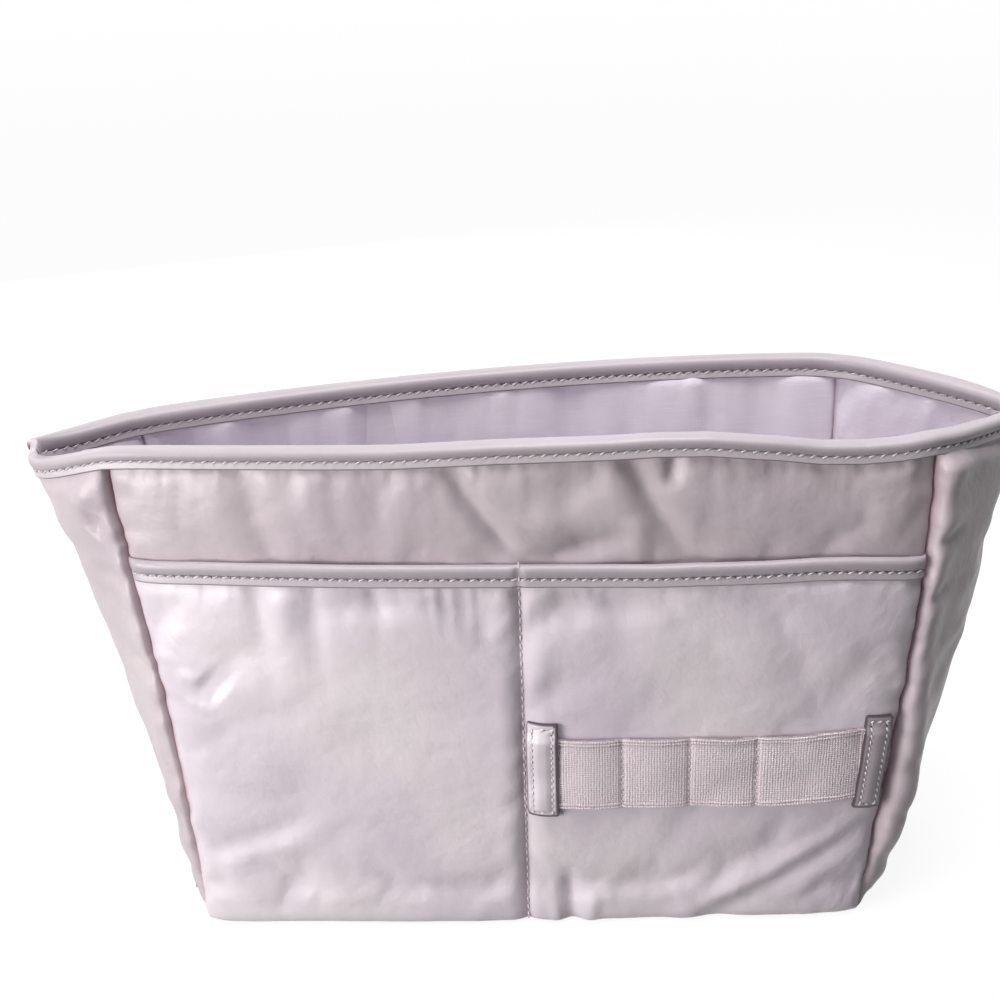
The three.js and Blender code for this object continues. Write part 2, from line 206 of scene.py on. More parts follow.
@dataclass(frozen=True)
class Fold:
    """One soft fold in a cloth, along a line on its flat face."""

    start: tuple[float, float]
    end: tuple[float, float]
    width: float
    height: float
    kind: FoldKind = FoldKind.DENT
    bow: float = 0.0
    fade: float = 0.7
    LEE_STEEPNESS: ClassVar[float] = 1.6
    TAPER: ClassVar[float] = 0.3

    def relief(self, across: Array, up: Array) -> Array:
        """How far the fold lifts the cloth.

        Args:
            across: first coordinate of each place on the cloth.
            up: second coordinate of each place.

        Returns:
            Lift at each place, in millimetres.
        """
        run, rise = self.end[0] - self.start[0], self.end[1] - self.start[1]
        length = math.hypot(run, rise)
        along = ((across - self.start[0]) * run + (up - self.start[1]) * rise) / length**2
        side = ((across - self.start[0]) * rise - (up - self.start[1]) * run) / length
        side = (side - self.bow * 4 * along * (1 - along)) / self.width
        taper = ease(-self.TAPER, self.TAPER, along) * (1 - ease(self.fade, 1 + self.TAPER, along))
        across_line = np.exp(-side * side)
        if self.kind is FoldKind.LEE:
            return self.height * taper * self.LEE_STEEPNESS * side * across_line
        return (self.height if self.kind is FoldKind.RIDGE else -self.height) * taper * across_line


def fold_relief(folds: tuple[Fold, ...], across: Array, up: Array) -> Array:
    """Lift of several folds together."""
    return sum((fold.relief(across, up) for fold in folds), np.zeros_like(across))


@dataclass(frozen=True)
class Swell:
    """Soft unevenness of a cloth: its height, the size of its swells, and its step from the cloth's seed."""

    height: float
    cell: tuple[float, float]
    seed: int = 0

    def relief(self, first: Array, second: Array, seed: int) -> Array:
        """Lift at each place of the cloth."""
        return self.height * noise(first, second, self.cell, seed + self.seed)


@dataclass(frozen=True)
class Gathers:
    """Gathers off a sewn line: height, usual distance, usual length, and their step from the cloth's seed."""

    height: float
    pitch: float
    reach: float
    seed: int

    def relief(self, along: Array, away: Array, seed: int) -> Array:
        """Lift at each place, along the line and away from it."""
        return self.height * puckers(along, away, self.pitch, self.reach, seed + self.seed)


@dataclass(frozen=True)
class Roll:
    """A soft roll beside a sewn line: its height, its distance from the line and its width."""

    height: float
    place: float
    width: float

    def relief(self, away: Array) -> Array:
        """Lift at each distance from the line."""
        return self.height * bell(away - self.place, self.width)


Forms = tuple[Swell | Gathers, ...]


def lifted(forms: Forms, first: Array, second: Array, seed: int) -> Array:
    """Lift of several swells or gathers together."""
    return sum(form.relief(first, second, seed) for form in forms)


# Shape of the walls


class Wall(Enum):
    """The four walls, in order round the insert, anticlockwise from above."""

    FRONT = 0
    RIGHT = 1
    BACK = 2
    LEFT = 3


class End(Enum):
    """The two folded ends."""

    LEFT = "left"
    RIGHT = "right"


@dataclass(frozen=True)
class Crease:
    """Crease of a folded end: how far its tip stands past the seams, and its swell on the way up."""

    out: float
    drop: float
    forward: float
    swell: float


@dataclass(frozen=True)
class WallForm:
    """Surfaces halfway through the foam, with t along a wall and v up from its foot at 0 to its top at 1."""

    half_length: float = 123.7
    half_depth: float = 47.7
    foot: float = 6.6
    top: float = 188.9
    front_rim_half: float = 139.0
    front_lean: tuple[float, float] = (14.0, 1.5)
    front_drop: tuple[float, float] = (2.5, 0.5)
    front_belly: float = 2.0
    back_rim: tuple[float, float] = (146.0, 127.0)
    back_lean: tuple[float, float] = (32.0, -3.5)
    back_drop: tuple[float, float] = (6.5, 1.0)
    back_bow: float = 6.5
    left_crease: Crease = Crease(32.6, 9.5, 4.0, 0.3)
    right_crease: Crease = Crease(43.0, 5.0, 9.0, 0.7)
    crease_radius: float = 6.0
    crease_foot_softness: float = 2.0

    def post(self, wall: Wall, end: End) -> tuple[Array, Array]:
        """Foot and top of the corner post where a wall meets a folded end.

        Args:
            wall: the front or the back wall.
            end: the folded end.

        Returns:
            The two ends of the post.
        """
        side = -1 if end is End.LEFT else 1
        pick = 0 if end is End.LEFT else 1
        front = wall is Wall.FRONT
        facing = -1 if front else 1
        reach = self.front_rim_half if front else self.back_rim[pick]
        lean = self.front_lean[pick] if front else self.back_lean[pick]
        drop = self.front_drop[pick] if front else self.back_drop[pick]
        foot = np.array([side * self.half_length, facing * self.half_depth, self.foot])
        top = np.array([side * reach, facing * (self.half_depth - lean), self.top - drop])
        return foot, top

    def main_wall(self, wall: Wall, t: Array, v: Array) -> Array:
        """Points of the front or back wall, which leans most near its ends.

        Args:
            wall: the front or the back wall.
            t: place along the wall.
            v: place up the wall.

        Returns:
            Points with the shape of t and v.
        """
        front = wall is Wall.FRONT
        ends = (End.LEFT, End.RIGHT) if front else (End.RIGHT, End.LEFT)
        (foot0, top0), (foot1, top1) = (self.post(wall, end) for end in ends)
        facing = -1 if front else 1
        if front:
            near0, near1 = np.maximum(1 - 2 * t, 0) ** 1.6, np.maximum(2 * t - 1, 0) ** 1.6
            swell = self.front_belly * (1 - (2 * t - 1) ** 2) * v
        else:
            near0, near1 = (1 - t) ** 1.8, t**1.8
            swell = self.back_bow * 4 * t * (1 - t) * v
        x = mix(mix(foot0[0], top0[0], v), mix(foot1[0], top1[0], v), t)
        lean = near0 * (top0[1] - foot0[1]) * v + near1 * (top1[1] - foot1[1]) * v
        z = mix(self.foot, self.top, v) + (near0 * (top0[2] - self.top) + near1 * (top1[2] - self.top)) * v
        return np.stack(np.broadcast_arrays(x, facing * (self.half_depth + swell) + lean, z), axis=-1)

    def folded_end(self, end: End, t: Array, v: Array) -> Array:
        """Points of a folded end: two arms joined by a crease that tightens towards the rim.

        Args:
            end: the folded end.
            t: place along the end, anticlockwise from above.
            v: place up the end.

        Returns:
            Points with the shape of t and v.
        """
        outward = -1 if end is End.LEFT else 1
        crease = self.left_crease if end is End.LEFT else self.right_crease
        walls = (Wall.BACK, Wall.FRONT) if end is End.LEFT else (Wall.FRONT, Wall.BACK)
        (foot0, top0), (foot1, top1) = (self.post(wall, end) for wall in walls)
        tip = (top0 + top1) / 2 + np.array([outward * crease.out, -crease.forward, 0])
        tip[2] = self.top - crease.drop
        arms = np.stack([top0 - tip, top1 - tip])
        half_angle = math.acos(np.prod(unit(arms), axis=0).sum()) / 2
        arm = np.linalg.norm(arms, axis=1).mean()
        rim_softness = self.crease_radius * math.cos(half_angle) / (arm * math.sin(half_angle) ** 2)
        t, v = (np.asarray(a)[..., None] for a in np.broadcast_arrays(t, v))
        start, last = mix(foot0, top0, v), mix(foot1, top1, v)
        fold_foot = (foot0 + foot1) / 2
        fold = mix(fold_foot, tip, v)
        fold[..., :1] = mix(fold_foot[0], tip[0], v + crease.swell * v * (1 - v))
        softness = mix(self.crease_foot_softness, rim_softness, v)

        def share(s: Array | float) -> Array:
            """Share of an arm at a place measured from the crease."""
            return (s + np.hypot(s, softness) - np.hypot(1, softness) + 1) / 2

        corner = (fold - share(0) * (start + last)) / (1 - 2 * share(0))
        s = 2 * t - 1
        return corner + (start - corner) * share(-s) + (last - corner) * share(s)


class WallLoop:
    """The four walls as one closed grid of points halfway through the foam, with rounded corners."""

    MAIN_COLUMNS = 320
    END_COLUMNS = 112
    ROWS = 128
    RIM_ROUNDING = 9.0
    FOOT_ROUNDING = 0.35
    ROUNDED_REACH = 30.0
    ROUNDED_FROM = 0.55
    WAVE_FROM = 0.7
    LEFT_SEAM_SLIDE = ((0.0, -2.0), (0.3, 0.0), (0.5, 0.0), (0.7, -2.0), (0.9, -4.8), (1.0, -4.4))
    RIGHT_SEAM_SLIDE = ((0.0, 1.0), (0.1, 2.0), (0.6, 2.6), (0.8, 2.6), (0.9, 2.0), (1.0, 0.0))
    TIP_DIP = 2.6
    TIP_LIFT = 2.5
    SHOULDER = 2.4
    TIP_REACH = 14.0
    SEAM_WAVE = Swell(0.4, (3.2, 1.0), 3)
    SEAM_WAVE_REACH = 8.0
    SEAM_LENGTH = 180.0
    FRONT_WAVE = (
        (-141, 0.0), (-118, 0.1), (-43, 0.2), (-7, 1.6), (30, 2.0), (46, 2.6), (63, 2.4),
        (86, 0.2), (100, -1.6), (114, -2.0), (125, -1.4), (137, 0.0),
    )

    def __init__(self, form: WallForm) -> None:
        """Lays out the grid of a wall form."""
        self.form = form
        self.levels = np.linspace(0, 1, self.ROWS)
        main = np.linspace(0, 1, self.MAIN_COLUMNS + 1)
        s = np.linspace(-1, 1, self.END_COLUMNS + 1)
        ends = (1 + np.sign(s) * np.abs(s) ** 1.4) / 2
        v = self.levels[None, :]
        grids, self.first, count = [], {}, 0
        for wall in Wall:
            if wall in (Wall.FRONT, Wall.BACK):
                grids.append(form.main_wall(wall, main[:-1, None], v))
            else:
                grids.append(form.folded_end(End[wall.name], ends[:-1, None], v))
            self.first[wall] = count
            count += len(grids[-1])
        self.count = count
        self.middle = self._slid(self._rounded(np.concatenate(grids)))
        self.middle[..., 2] += self._rim_wave()
        ahead, behind = np.roll(self.middle, -1, axis=0), np.roll(self.middle, 1, axis=0)
        self.up = unit(np.gradient(self.middle, axis=1))
        self.normal = unit(np.cross(ahead - behind, self.up))
        self.normal[:, 0, 2] = 0
        self.normal = unit(self.normal)

    def _rounded(self, points: Array) -> Array:
        """Rounds the four corners, most at the rim, where the stiff binding bends gently."""
        rim = points[:, -1]
        steps = np.linalg.norm(np.roll(rim, -1, axis=0) - rim, axis=1)
        place = np.concatenate([[0], np.cumsum(steps)[:-1]])
        round_length = steps.sum()
        weight = (steps + np.roll(steps, 1)) / 2
        gap = np.abs(place[:, None] - place[None, :])
        gap = np.minimum(gap, round_length - gap)
        kernel = np.exp(-0.5 * (gap / self.RIM_ROUNDING) ** 2) * weight[None, :]
        kernel /= kernel.sum(axis=1, keepdims=True)
        smooth = np.einsum("ij,jkl->ikl", kernel, points)
        corners = [self.first[wall] for wall in Wall]
        near = np.max([1 - ease(0, self.ROUNDED_REACH, gap[:, corner]) for corner in corners], axis=0)
        amount = np.maximum(ease(self.ROUNDED_FROM, 1.0, self.levels), self.FOOT_ROUNDING)
        return points + (near[:, None] * amount[None, :])[..., None] * (smooth - points)

    def _slid(self, points: Array) -> Array:
        """Slides the front seams along the walls to where they lie on the insert."""
        place = arc_lengths(np.concatenate([points, points[:1]]))
        length, place = place[-1:], place[:-1]
        target = place.copy()
        for wall, slide in ((Wall.FRONT, self.LEFT_SEAM_SLIDE), (Wall.RIGHT, self.RIGHT_SEAM_SLIDE)):
            gap = np.abs(place - place[self.first[wall]][None])
            gap = np.minimum(gap, length - gap)
            wave = self.SEAM_WAVE.relief(self.levels * self.SEAM_LENGTH, 0 * self.levels, wall.value)
            amount = read_off(slide, self.levels) * (1 - ease(0, self.ROUNDED_REACH, gap))
            target += amount + wave[None] * (1 - ease(0, self.SEAM_WAVE_REACH, gap))
        slid = np.empty_like(points)
        for row in range(self.ROWS):
            for axis in range(3):
                slid[:, row, axis] = np.interp(
                    target[:, row], place[:, row], points[:, row, axis], period=length[0, row]
                )
        return slid

    def _rim_wave(self) -> Array:
        """Rise and fall of the rim along the front, about the left tip and over the right end."""
        half = self.END_COLUMNS / 2
        column = np.arange(self.count)
        past_tip = (column - self.first[Wall.LEFT] - half) / half
        to_front = np.clip(past_tip, 0, 1)
        wave = -self.TIP_DIP * np.sin(np.pi * to_front**0.7)
        rim = self.middle[:, -1]
        tip = rim[self.first[Wall.LEFT] + int(half)]
        near = np.exp(-np.linalg.norm(rim - tip, axis=-1) / self.TIP_REACH)
        wave += self.TIP_LIFT * near * ease(-0.08, 0.08, -past_tip) * (past_tip > -1)
        to_back = np.clip((column - self.first[Wall.RIGHT] - half) / half, 0, 1)
        wave += self.SHOULDER * np.sin(np.pi * to_back**0.8)
        front = column < self.first[Wall.RIGHT]
        wave += front * read_off(self.FRONT_WAVE, rim[:, 0])
        return wave[:, None] * ease(self.WAVE_FROM, 1.0, self.levels)[None]

    def columns(self, wall: Wall) -> Array:
        """Numbers of the columns of one wall, with both its seams."""
        last = self.first[Wall(wall.value + 1)] if wall is not Wall.LEFT else self.count
        return np.arange(self.first[wall], last + 1) % self.count

    def sample(self, values: Array, columns: Array, v: Array) -> Array:
        """Values of the grid at any height of chosen columns.

        Args:
            values: numbers or vectors, one for each point of the grid.
            columns: numbers of the columns.
            v: heights, as an array of columns by rows.

        Returns:
            The values at those heights.
        """
        place = np.clip(v, 0, 1) * (self.ROWS - 1)
        low = np.minimum(place.astype(int), self.ROWS - 2)
        share = (place - low).reshape(place.shape + (1,) * (values.ndim - 2))
        rows = columns[:, None]
        return mix(values[rows, low], values[rows, low + 1], share)

    def at(self, columns: Array, v: Array) -> tuple[Array, Array]:
        """Points and outward directions at any height of chosen columns."""
        return self.sample(self.middle, columns, v), unit(self.sample(self.normal, columns, v))


class SettledCloth:
    """Satin a little larger than its walls, left to settle between the lines where it is sewn down."""

    SCALE = 0.01
    COLUMN_STEP = 3
    ROW_STEP = 2
    FRAMES = 16
    SPARE = -0.018
    LIMIT = 1.7
    SMOOTHING = 3
    HELD_FOOT = 2
    HELD_RIM = 3
    MOUTH_BAND = 3.2
    DIVIDER_BAND = 1.8
    SETTINGS = {
        "quality": 5, "mass": 0.25, "tension_stiffness": 12.0, "compression_stiffness": 12.0,
        "shear_stiffness": 4.0, "bending_stiffness": 1.2, "tension_damping": 6.0, "compression_damping": 6.0,
        "shear_damping": 6.0, "bending_damping": 1.0, "air_damping": 3.0, "vertex_group_mass": "sewn",
        "shrink_min": SPARE, "use_pressure": True, "uniform_pressure_force": 0.12,
    }

    def __init__(self, loop: WallLoop, mouth: float, divider: float) -> None:
        """Keeps the walls and the lines of the pocket.

        Args:
            loop: the walls.
            mouth: height of the seam below the pocket's mouth.
            divider: place of the pocket's dividing seam along the front.
        """
        self.loop, self.mouth, self.divider = loop, mouth, divider

    def relief(self) -> Array:
        loop = self.loop
        columns = np.arange(0, loop.count, self.COLUMN_STEP)
        rows = np.unique(np.append(np.arange(0, loop.ROWS, self.ROW_STEP), loop.ROWS - 1))
        rest = loop.middle[columns][:, rows]
        normals = loop.normal[columns][:, rows]
        settled = self._settle(rest + normals * LAYERS.face, self._sewn(columns, rows))
        lift = ((settled - rest) * normals).sum(axis=-1) - LAYERS.face
        lift = self.LIMIT * np.tanh(lift / self.LIMIT)
        lift = np.concatenate([lift, lift[:1]])
        across, known = np.arange(loop.count), np.append(columns, loop.count)
        full = np.stack([np.interp(across, known, lift[:, k]) for k in range(len(rows))], axis=1)
        full = np.stack([np.interp(np.arange(loop.ROWS), rows, column) for column in full])
        for _ in range(self.SMOOTHING):
            full = (np.roll(full, 1, axis=0) + 2 * full + np.roll(full, -1, axis=0)) / 4
            full[:, 1:-1] = (full[:, :-2] + 2 * full[:, 1:-1] + full[:, 2:]) / 4
        return full

    def _sewn(self, columns: Array, rows: Array) -> Array:
        """Which points of the coarse grid are sewn down."""
        loop = self.loop
        points = loop.middle[columns][:, rows]
        sewn = np.zeros(points.shape[:2], dtype=bool)
        sewn[:, : self.HELD_FOOT] = True
        sewn[:, -self.HELD_RIM :] = True
        for wall in Wall:
            sewn[np.argmin(np.abs(columns - loop.first[wall]))] = True
        front = columns < loop.first[Wall.RIGHT]
        x, z = points[..., 0], points[..., 2]
        sewn |= front[:, None] & (np.abs(z - self.mouth) < self.MOUTH_BAND)
        sewn |= front[:, None] & (np.abs(x - self.divider) < self.DIVIDER_BAND) & (z < self.mouth)
        return sewn

    def _settle(self, points: Array, sewn: Array) -> Array:
        """Runs the cloth until it lies still.

        Args:
            points: coarse grid of the cloth round the whole insert, in millimetres.
            sewn: which points are held.

        Returns:
            The settled points.
        """
        columns, rows = points.shape[:2]
        index = np.arange(columns * rows).reshape(columns, rows)
        ahead = np.roll(index, -1, axis=0)
        faces = quads(index[:, :-1], ahead[:, :-1], ahead[:, 1:], index[:, 1:])
        mesh = bpy.data.meshes.new("settling_cloth")
        mesh.from_pydata((points.reshape(-1, 3) * self.SCALE).tolist(), [], faces.tolist())
        cloth = bpy.data.objects.new("settling_cloth", mesh)
        scene = bpy.context.scene
        scene.collection.objects.link(cloth)
        cloth.vertex_groups.new(name="sewn").add(np.flatnonzero(sewn.ravel()).tolist(), 1.0, "REPLACE")
        modifier = cloth.modifiers.new("cloth", "CLOTH")
        for key, value in self.SETTINGS.items():
            setattr(modifier.settings, key, value)
        modifier.settings.effector_weights.gravity = 0.0
        modifier.point_cache.frame_start, modifier.point_cache.frame_end = 1, self.FRAMES
        for number in range(1, self.FRAMES + 1):
            scene.frame_set(number)
        shown = cloth.evaluated_get(bpy.context.evaluated_depsgraph_get()).data
        settled = np.empty(columns * rows * 3, dtype=np.float32)
        shown.vertices.foreach_get("co", settled)
        scene.frame_set(1)
        bpy.data.objects.remove(cloth)
        bpy.data.meshes.remove(mesh)
        log.info("cloth settled over %d frames", self.FRAMES)
        return settled.reshape(columns, rows, 3).astype(float) / self.SCALE


# Meshes


@dataclass
class Skin:
    """A grid of points over one face of a cloth, with its place on the flat cut and its painted seam shade.
    """

    points: Array
    normals: Array
    flat: Array
    seam: Array

    def part(self, columns: slice) -> "Skin":
        """Some columns of the grid."""
        return Skin(self.points[columns], self.normals[columns], self.flat[columns], self.seam[columns])


def skin(points: Array, seam: Array | None = None, inward: bool = False) -> Skin:
    """A skin over a grid of points.

    Args:
        points: columns by rows of points, columns to the right and rows up, seen from outside.
        seam: strength of the painted seam shade, from 0 to 1.
        inward: whether the face looks into the insert.

    Returns:
        The skin, with its flat cut measured along its rows and columns.
    """
    normals = grid_normals(points)
    across = arc_lengths(points)
    up = arc_lengths(points.swapaxes(0, 1)).T
    flat = np.stack([across, up], axis=-1)
    shade = np.zeros(points.shape[:2]) if seam is None else seam
    return Skin(points, -normals if inward else normals, flat, shade)


def quads(*corners: Array) -> Array:
    """Faces from four arrays of corner numbers."""
    return np.stack(corners, axis=-1).reshape(-1, 4)


def ladder(around: int) -> Array:
    """Faces that close a ring of points, rung by rung."""
    rung = np.arange(around // 2 - 1)
    return quads(rung, rung + 1, around - 2 - rung, around - 1 - rung)


def mesh_piece(
    name: str, points: Array, faces: Array, normals: Array, flat: Array, seam: Array, material: Material
) -> Piece:
    """A mesh object with its own normals, flat cut and seam shade.

    Args:
        name: name of the piece.
        points: corner points, in millimetres.
        faces: four corner numbers for each face.
        normals: direction at each corner of each face.
        flat: place of each point on the flat cut.
        seam: strength of the painted shade and of dark edges at each point.
        material: finish of the piece.

    Returns:
        The object, linked to the scene.
    """
    mesh = bpy.data.meshes.new(name)
    mesh.from_pydata((points * MM).tolist(), [], faces.tolist())
    mesh.shade_smooth()
    corners = faces.reshape(-1)
    layer = mesh.uv_layers.new(name="cloth")
    layer.data.foreach_set("uv", (flat[corners] * MM).astype(np.float32).ravel())
    mesh.attributes.new("seam", "FLOAT", "POINT").data.foreach_set("value", seam.astype(np.float32).ravel())
    mesh.normals_split_custom_set(normals.reshape(-1, 3).tolist())
    mesh.materials.append(material)
    piece = bpy.data.objects.new(name, mesh)
    bpy.context.scene.collection.objects.link(piece)
    log.info("%s: %d faces", name, len(faces))
    return piece


def slab(name: str, outer: Skin, inner: Skin, material: Material) -> Piece:
    """A closed sheet between two skins with the same grid.

    Args:
        name: name of the piece.
        outer: skin that looks out.
        inner: skin that looks in.
        material: finish of the piece.

    Returns:
        The piece.
    """
    columns, rows = outer.points.shape[:2]
    count = columns * rows
    index = np.arange(count).reshape(columns, rows)
    face = quads(index[:-1, :-1], index[1:, :-1], index[1:, 1:], index[:-1, 1:])
    ring = np.concatenate([index[:-1, 0], index[-1, :-1], index[:0:-1, -1], index[0, :0:-1]])
    after = np.roll(ring, -1)
    edge = quads(ring, ring + count, after + count, after)
    points = np.concatenate([outer.points.reshape(-1, 3), inner.points.reshape(-1, 3)])
    normals = np.concatenate([outer.normals.reshape(-1, 3), inner.normals.reshape(-1, 3)])
    edge_normal = unit(np.cross(points[ring + count] - points[ring], points[after] - points[ring]))
    faces = np.concatenate([face, face[:, ::-1] + count, edge])
    corner_normals = np.concatenate(
        [normals[face], normals[face[:, ::-1] + count], np.repeat(edge_normal[:, None], 4, axis=1)]
    )
    flat = np.concatenate([outer.flat.reshape(-1, 2), inner.flat.reshape(-1, 2)])
    seam = np.concatenate([outer.seam.ravel(), inner.seam.ravel()])
    return mesh_piece(name, points, faces, corner_normals, flat, seam, material)


def tube(name: str, loops: Array, normals: Array, cut: Array, material: Material) -> Piece:
    """A closed sweep through loops of points.

    Args:
        name: name of the piece.
        loops: stations by section points, the section running anticlockwise seen along the sweep.
        normals: direction at each point.
        cut: strength of the dark cut edge and of painted shade at each section point.
        material: finish of the piece.

    Returns:
        The piece.
    """
    stations, around = loops.shape[:2]
    index = np.arange(stations * around).reshape(stations, around)
    ahead = np.roll(index, -1, axis=1)
    faces = quads(index[:-1], index[1:], ahead[1:], ahead[:-1])
    corner_normals = normals.reshape(-1, 3)[faces]
    for row, turned in ((0, False), (stations - 1, True)):
        cap = row * around + ladder(around)
        cap = cap[:, ::-1] if turned else cap
        facing = unit(loops[row].mean(axis=0) - loops[1 if row == 0 else row - 1].mean(axis=0))
        faces = np.concatenate([faces, cap])
        corner_normals = np.concatenate([corner_normals, np.broadcast_to(facing, (len(cap), 4, 3))])
    along = arc_lengths(loops)
    around_length = arc_lengths(loops.swapaxes(0, 1)).T
    flat = np.stack([along, around_length], axis=-1).reshape(-1, 2)
    seam = np.broadcast_to(cut, (stations, around)).ravel()
    return mesh_piece(name, loops.reshape(-1, 3), faces, corner_normals, flat, seam, material)


# Finishes


class Nodes:
    """A node tree, with short calls that add nodes and feed their sockets."""

    def __init__(self, tree: bpy.types.NodeTree) -> None:
        """Takes up a tree."""
        self.tree = tree

    def feed(self, socket: Socket, value: object) -> None:
        """Links a socket to another, or sets its value."""
        if isinstance(value, Socket):
            self.tree.links.new(value, socket)
        else:
            socket.default_value = value

    def node(self, kind: str, inputs: Inputs | None = None, **settings: object) -> bpy.types.Node:
        """A new node.

        Args:
            kind: type of the node.
            inputs: what its sockets are fed, by their names or numbers.
            settings: its own properties.

        Returns:
            The node.
        """
        made = self.tree.nodes.new(kind)
        for key, value in settings.items():
            setattr(made, key, value)
        for key, value in (inputs or {}).items():
            self.feed(made.inputs[key], value)
        return made

    def math(self, operation: str, first: object, second: object = 0.0) -> Socket:
        """Result of one sum on two values."""
        return self.node("ShaderNodeMath", {0: first, 1: second}, operation=operation).outputs[0]

    def seen(self) -> Socket:
        """1 for what the camera sees directly, in a mirror or through glass, and 0 for other light."""
        path = self.node("ShaderNodeLightPath").outputs
        clear = self.math("MAXIMUM", path["Is Glossy Ray"], path["Is Transmission Ray"])
        return self.math("MAXIMUM", path["Is Camera Ray"], clear)


class Shader(Nodes):
    """A material's nodes, with short calls for those that the finishes share."""

    def __init__(self, name: str) -> None:
        """Starts a material with one surface shader."""
        self.material = bpy.data.materials.new(name)
        self.material.use_nodes = True
        super().__init__(self.material.node_tree)
        self.surface = self.tree.nodes["Principled BSDF"]

    def colour(self, share: object, first: object, second: object, way: str = "MIX") -> Socket:
        """A mix of two colours."""
        sockets = {0: share, 6: first, 7: second}
        return self.node("ShaderNodeMix", sockets, data_type="RGBA", blend_type=way).outputs[2]

    def scaled(self, vector: Socket, scale: Spot) -> Socket:
        """Coordinates stretched along each axis."""
        return self.node("ShaderNodeMapping", {"Vector": vector, "Scale": scale}).outputs[0]

    def grain(self, vector: Socket, scale: float, detail: float = 2.0) -> Socket:
        """Noise of a given fineness, from 0 to 1."""
        sockets = {"Vector": vector, "Scale": scale, "Detail": detail}
        return self.node("ShaderNodeTexNoise", sockets).outputs["Fac"]

    def range(self, value: object, low: float, high: float, to_low: float, to_high: float) -> Socket:
        """A value taken from one range to another."""
        sockets = dict(enumerate((value, low, high, to_low, to_high)))
        return self.node("ShaderNodeMapRange", sockets).outputs[0]

    def cloth(self) -> tuple[Socket, Socket, Socket]:
        """Place on the flat cut, in metres, as a vector and its two coordinates."""
        place = self.node("ShaderNodeUVMap", uv_map="cloth").outputs[0]
        parts = self.node("ShaderNodeSeparateXYZ", {0: place}).outputs
        return place, parts[0], parts[1]

    def wave(self, place: Socket, period: float) -> Socket:
        """A sine of one coordinate with a period in metres."""
        return self.math("SINE", self.math("MULTIPLY", place, 2 * math.pi / period))

    def seam(self) -> Socket:
        """Strength of painted shade, in seams, creases, grooves and lee sides, and of dark cut and painted
        edges.
        """
        return self.node("ShaderNodeAttribute", attribute_name="seam").outputs["Fac"]

    def object_place(self) -> Socket:
        """Place in the insert's own frame."""
        return self.node("ShaderNodeTexCoord").outputs["Object"]

    def bump(self, *layers: tuple[object, float]) -> None:
        """Stacks layers of fine relief, each a height from 0 to 1 and its depth in metres."""
        below = {}
        for height, depth in layers:
            sockets = {"Strength": 1.0, "Distance": depth, "Height": height, **below}
            made = self.node("ShaderNodeBump", sockets)
            below = {"Normal": made.outputs[0]}
        self.feed(self.surface.inputs["Normal"], below["Normal"])

    def dress(self, **values: object) -> Material:
        """Feeds or sets values of the surface, named as its sockets are, and gives the material."""
        for key, value in values.items():
            self.feed(self.surface.inputs[key.replace("_", " ")], value)
        return self.material


def rgb(red: int, green: int, blue: int) -> tuple[float, ...]:
    """A screen colour as the shader's linear colour."""
    screen = (red / 255, green / 255, blue / 255)
    linear = [c / 12.92 if c <= 0.04045 else ((c + 0.055) / 1.055) ** 2.4 for c in screen]
    return (*linear, 1.0)


@dataclass(frozen=True)
class Satin:
    """Satin nylon: fine warp and weft, long slubs, soft colour drift, and painted shade, pinker and darker,
    where it dives into a seam.
    """

    name: str
    main: Colour
    drift: Colour
    # colour of the painted shade in seams
    seam: Colour
    roughness: tuple[float, float] = (0.29, 0.4)
    warp: float = 0.00042
    weft: float = 0.0005
    slub: Spot = (70.0, 1900.0, 1.0)
    thread: Spot = (2300.0, 90.0, 1.0)
    cloud: float = 14.0
    crinkle: float = 160.0
    shades: tuple[float, float] = (0.975, 1.02)
    crinkle_depth: float = 0.0004
    line_depth: float = 0.000016
    weave_depth: float = 0.00002

    def material(self) -> Material:
        """Builds the finish."""
        made = Shader(self.name)
        place, across, up = made.cloth()
        slub = made.grain(made.scaled(place, self.slub), 1.0, 3.0)
        thread = made.grain(made.scaled(place, self.thread), 1.0)
        cloud = made.grain(place, self.cloud)
        crinkle = made.grain(place, self.crinkle, 3.0)
        weave = made.math("MULTIPLY", made.wave(across, self.warp), made.wave(up, self.weft))
        weave = made.range(weave, -1.0, 1.0, 0.0, 1.0)
        tone = made.colour(made.range(cloud, 0.3, 0.7, 0.0, 1.0), rgb(*self.main), rgb(*self.drift))
        lines = made.math("ADD", made.math("MULTIPLY", slub, 0.5), made.math("MULTIPLY", thread, 0.5))
        shade = made.range(lines, 0.25, 0.75, *self.shades)
        grey = made.node("ShaderNodeCombineColor", {0: shade, 1: shade, 2: shade})
        tone = made.colour(1.0, tone, grey.outputs[0], "MULTIPLY")
        # painted shade: the seam attribute blends in the seam colour, a pink shade in seam valleys and beside
        # the divider
        tone = made.colour(made.seam(), tone, rgb(*self.seam))
        made.bump((crinkle, self.crinkle_depth), (lines, self.line_depth), (weave, self.weave_depth))
        return made.dress(
            Base_Color=tone,
            Roughness=made.range(slub, 0.3, 0.7, *self.roughness),
            Tangent=made.node("ShaderNodeTangent", direction_type="UV_MAP", uv_map="cloth").outputs[0],
            Sheen_Weight=0.12,
            Sheen_Roughness=0.45,
            Anisotropic=0.45,
            Specular_IOR_Level=0.45,
        )


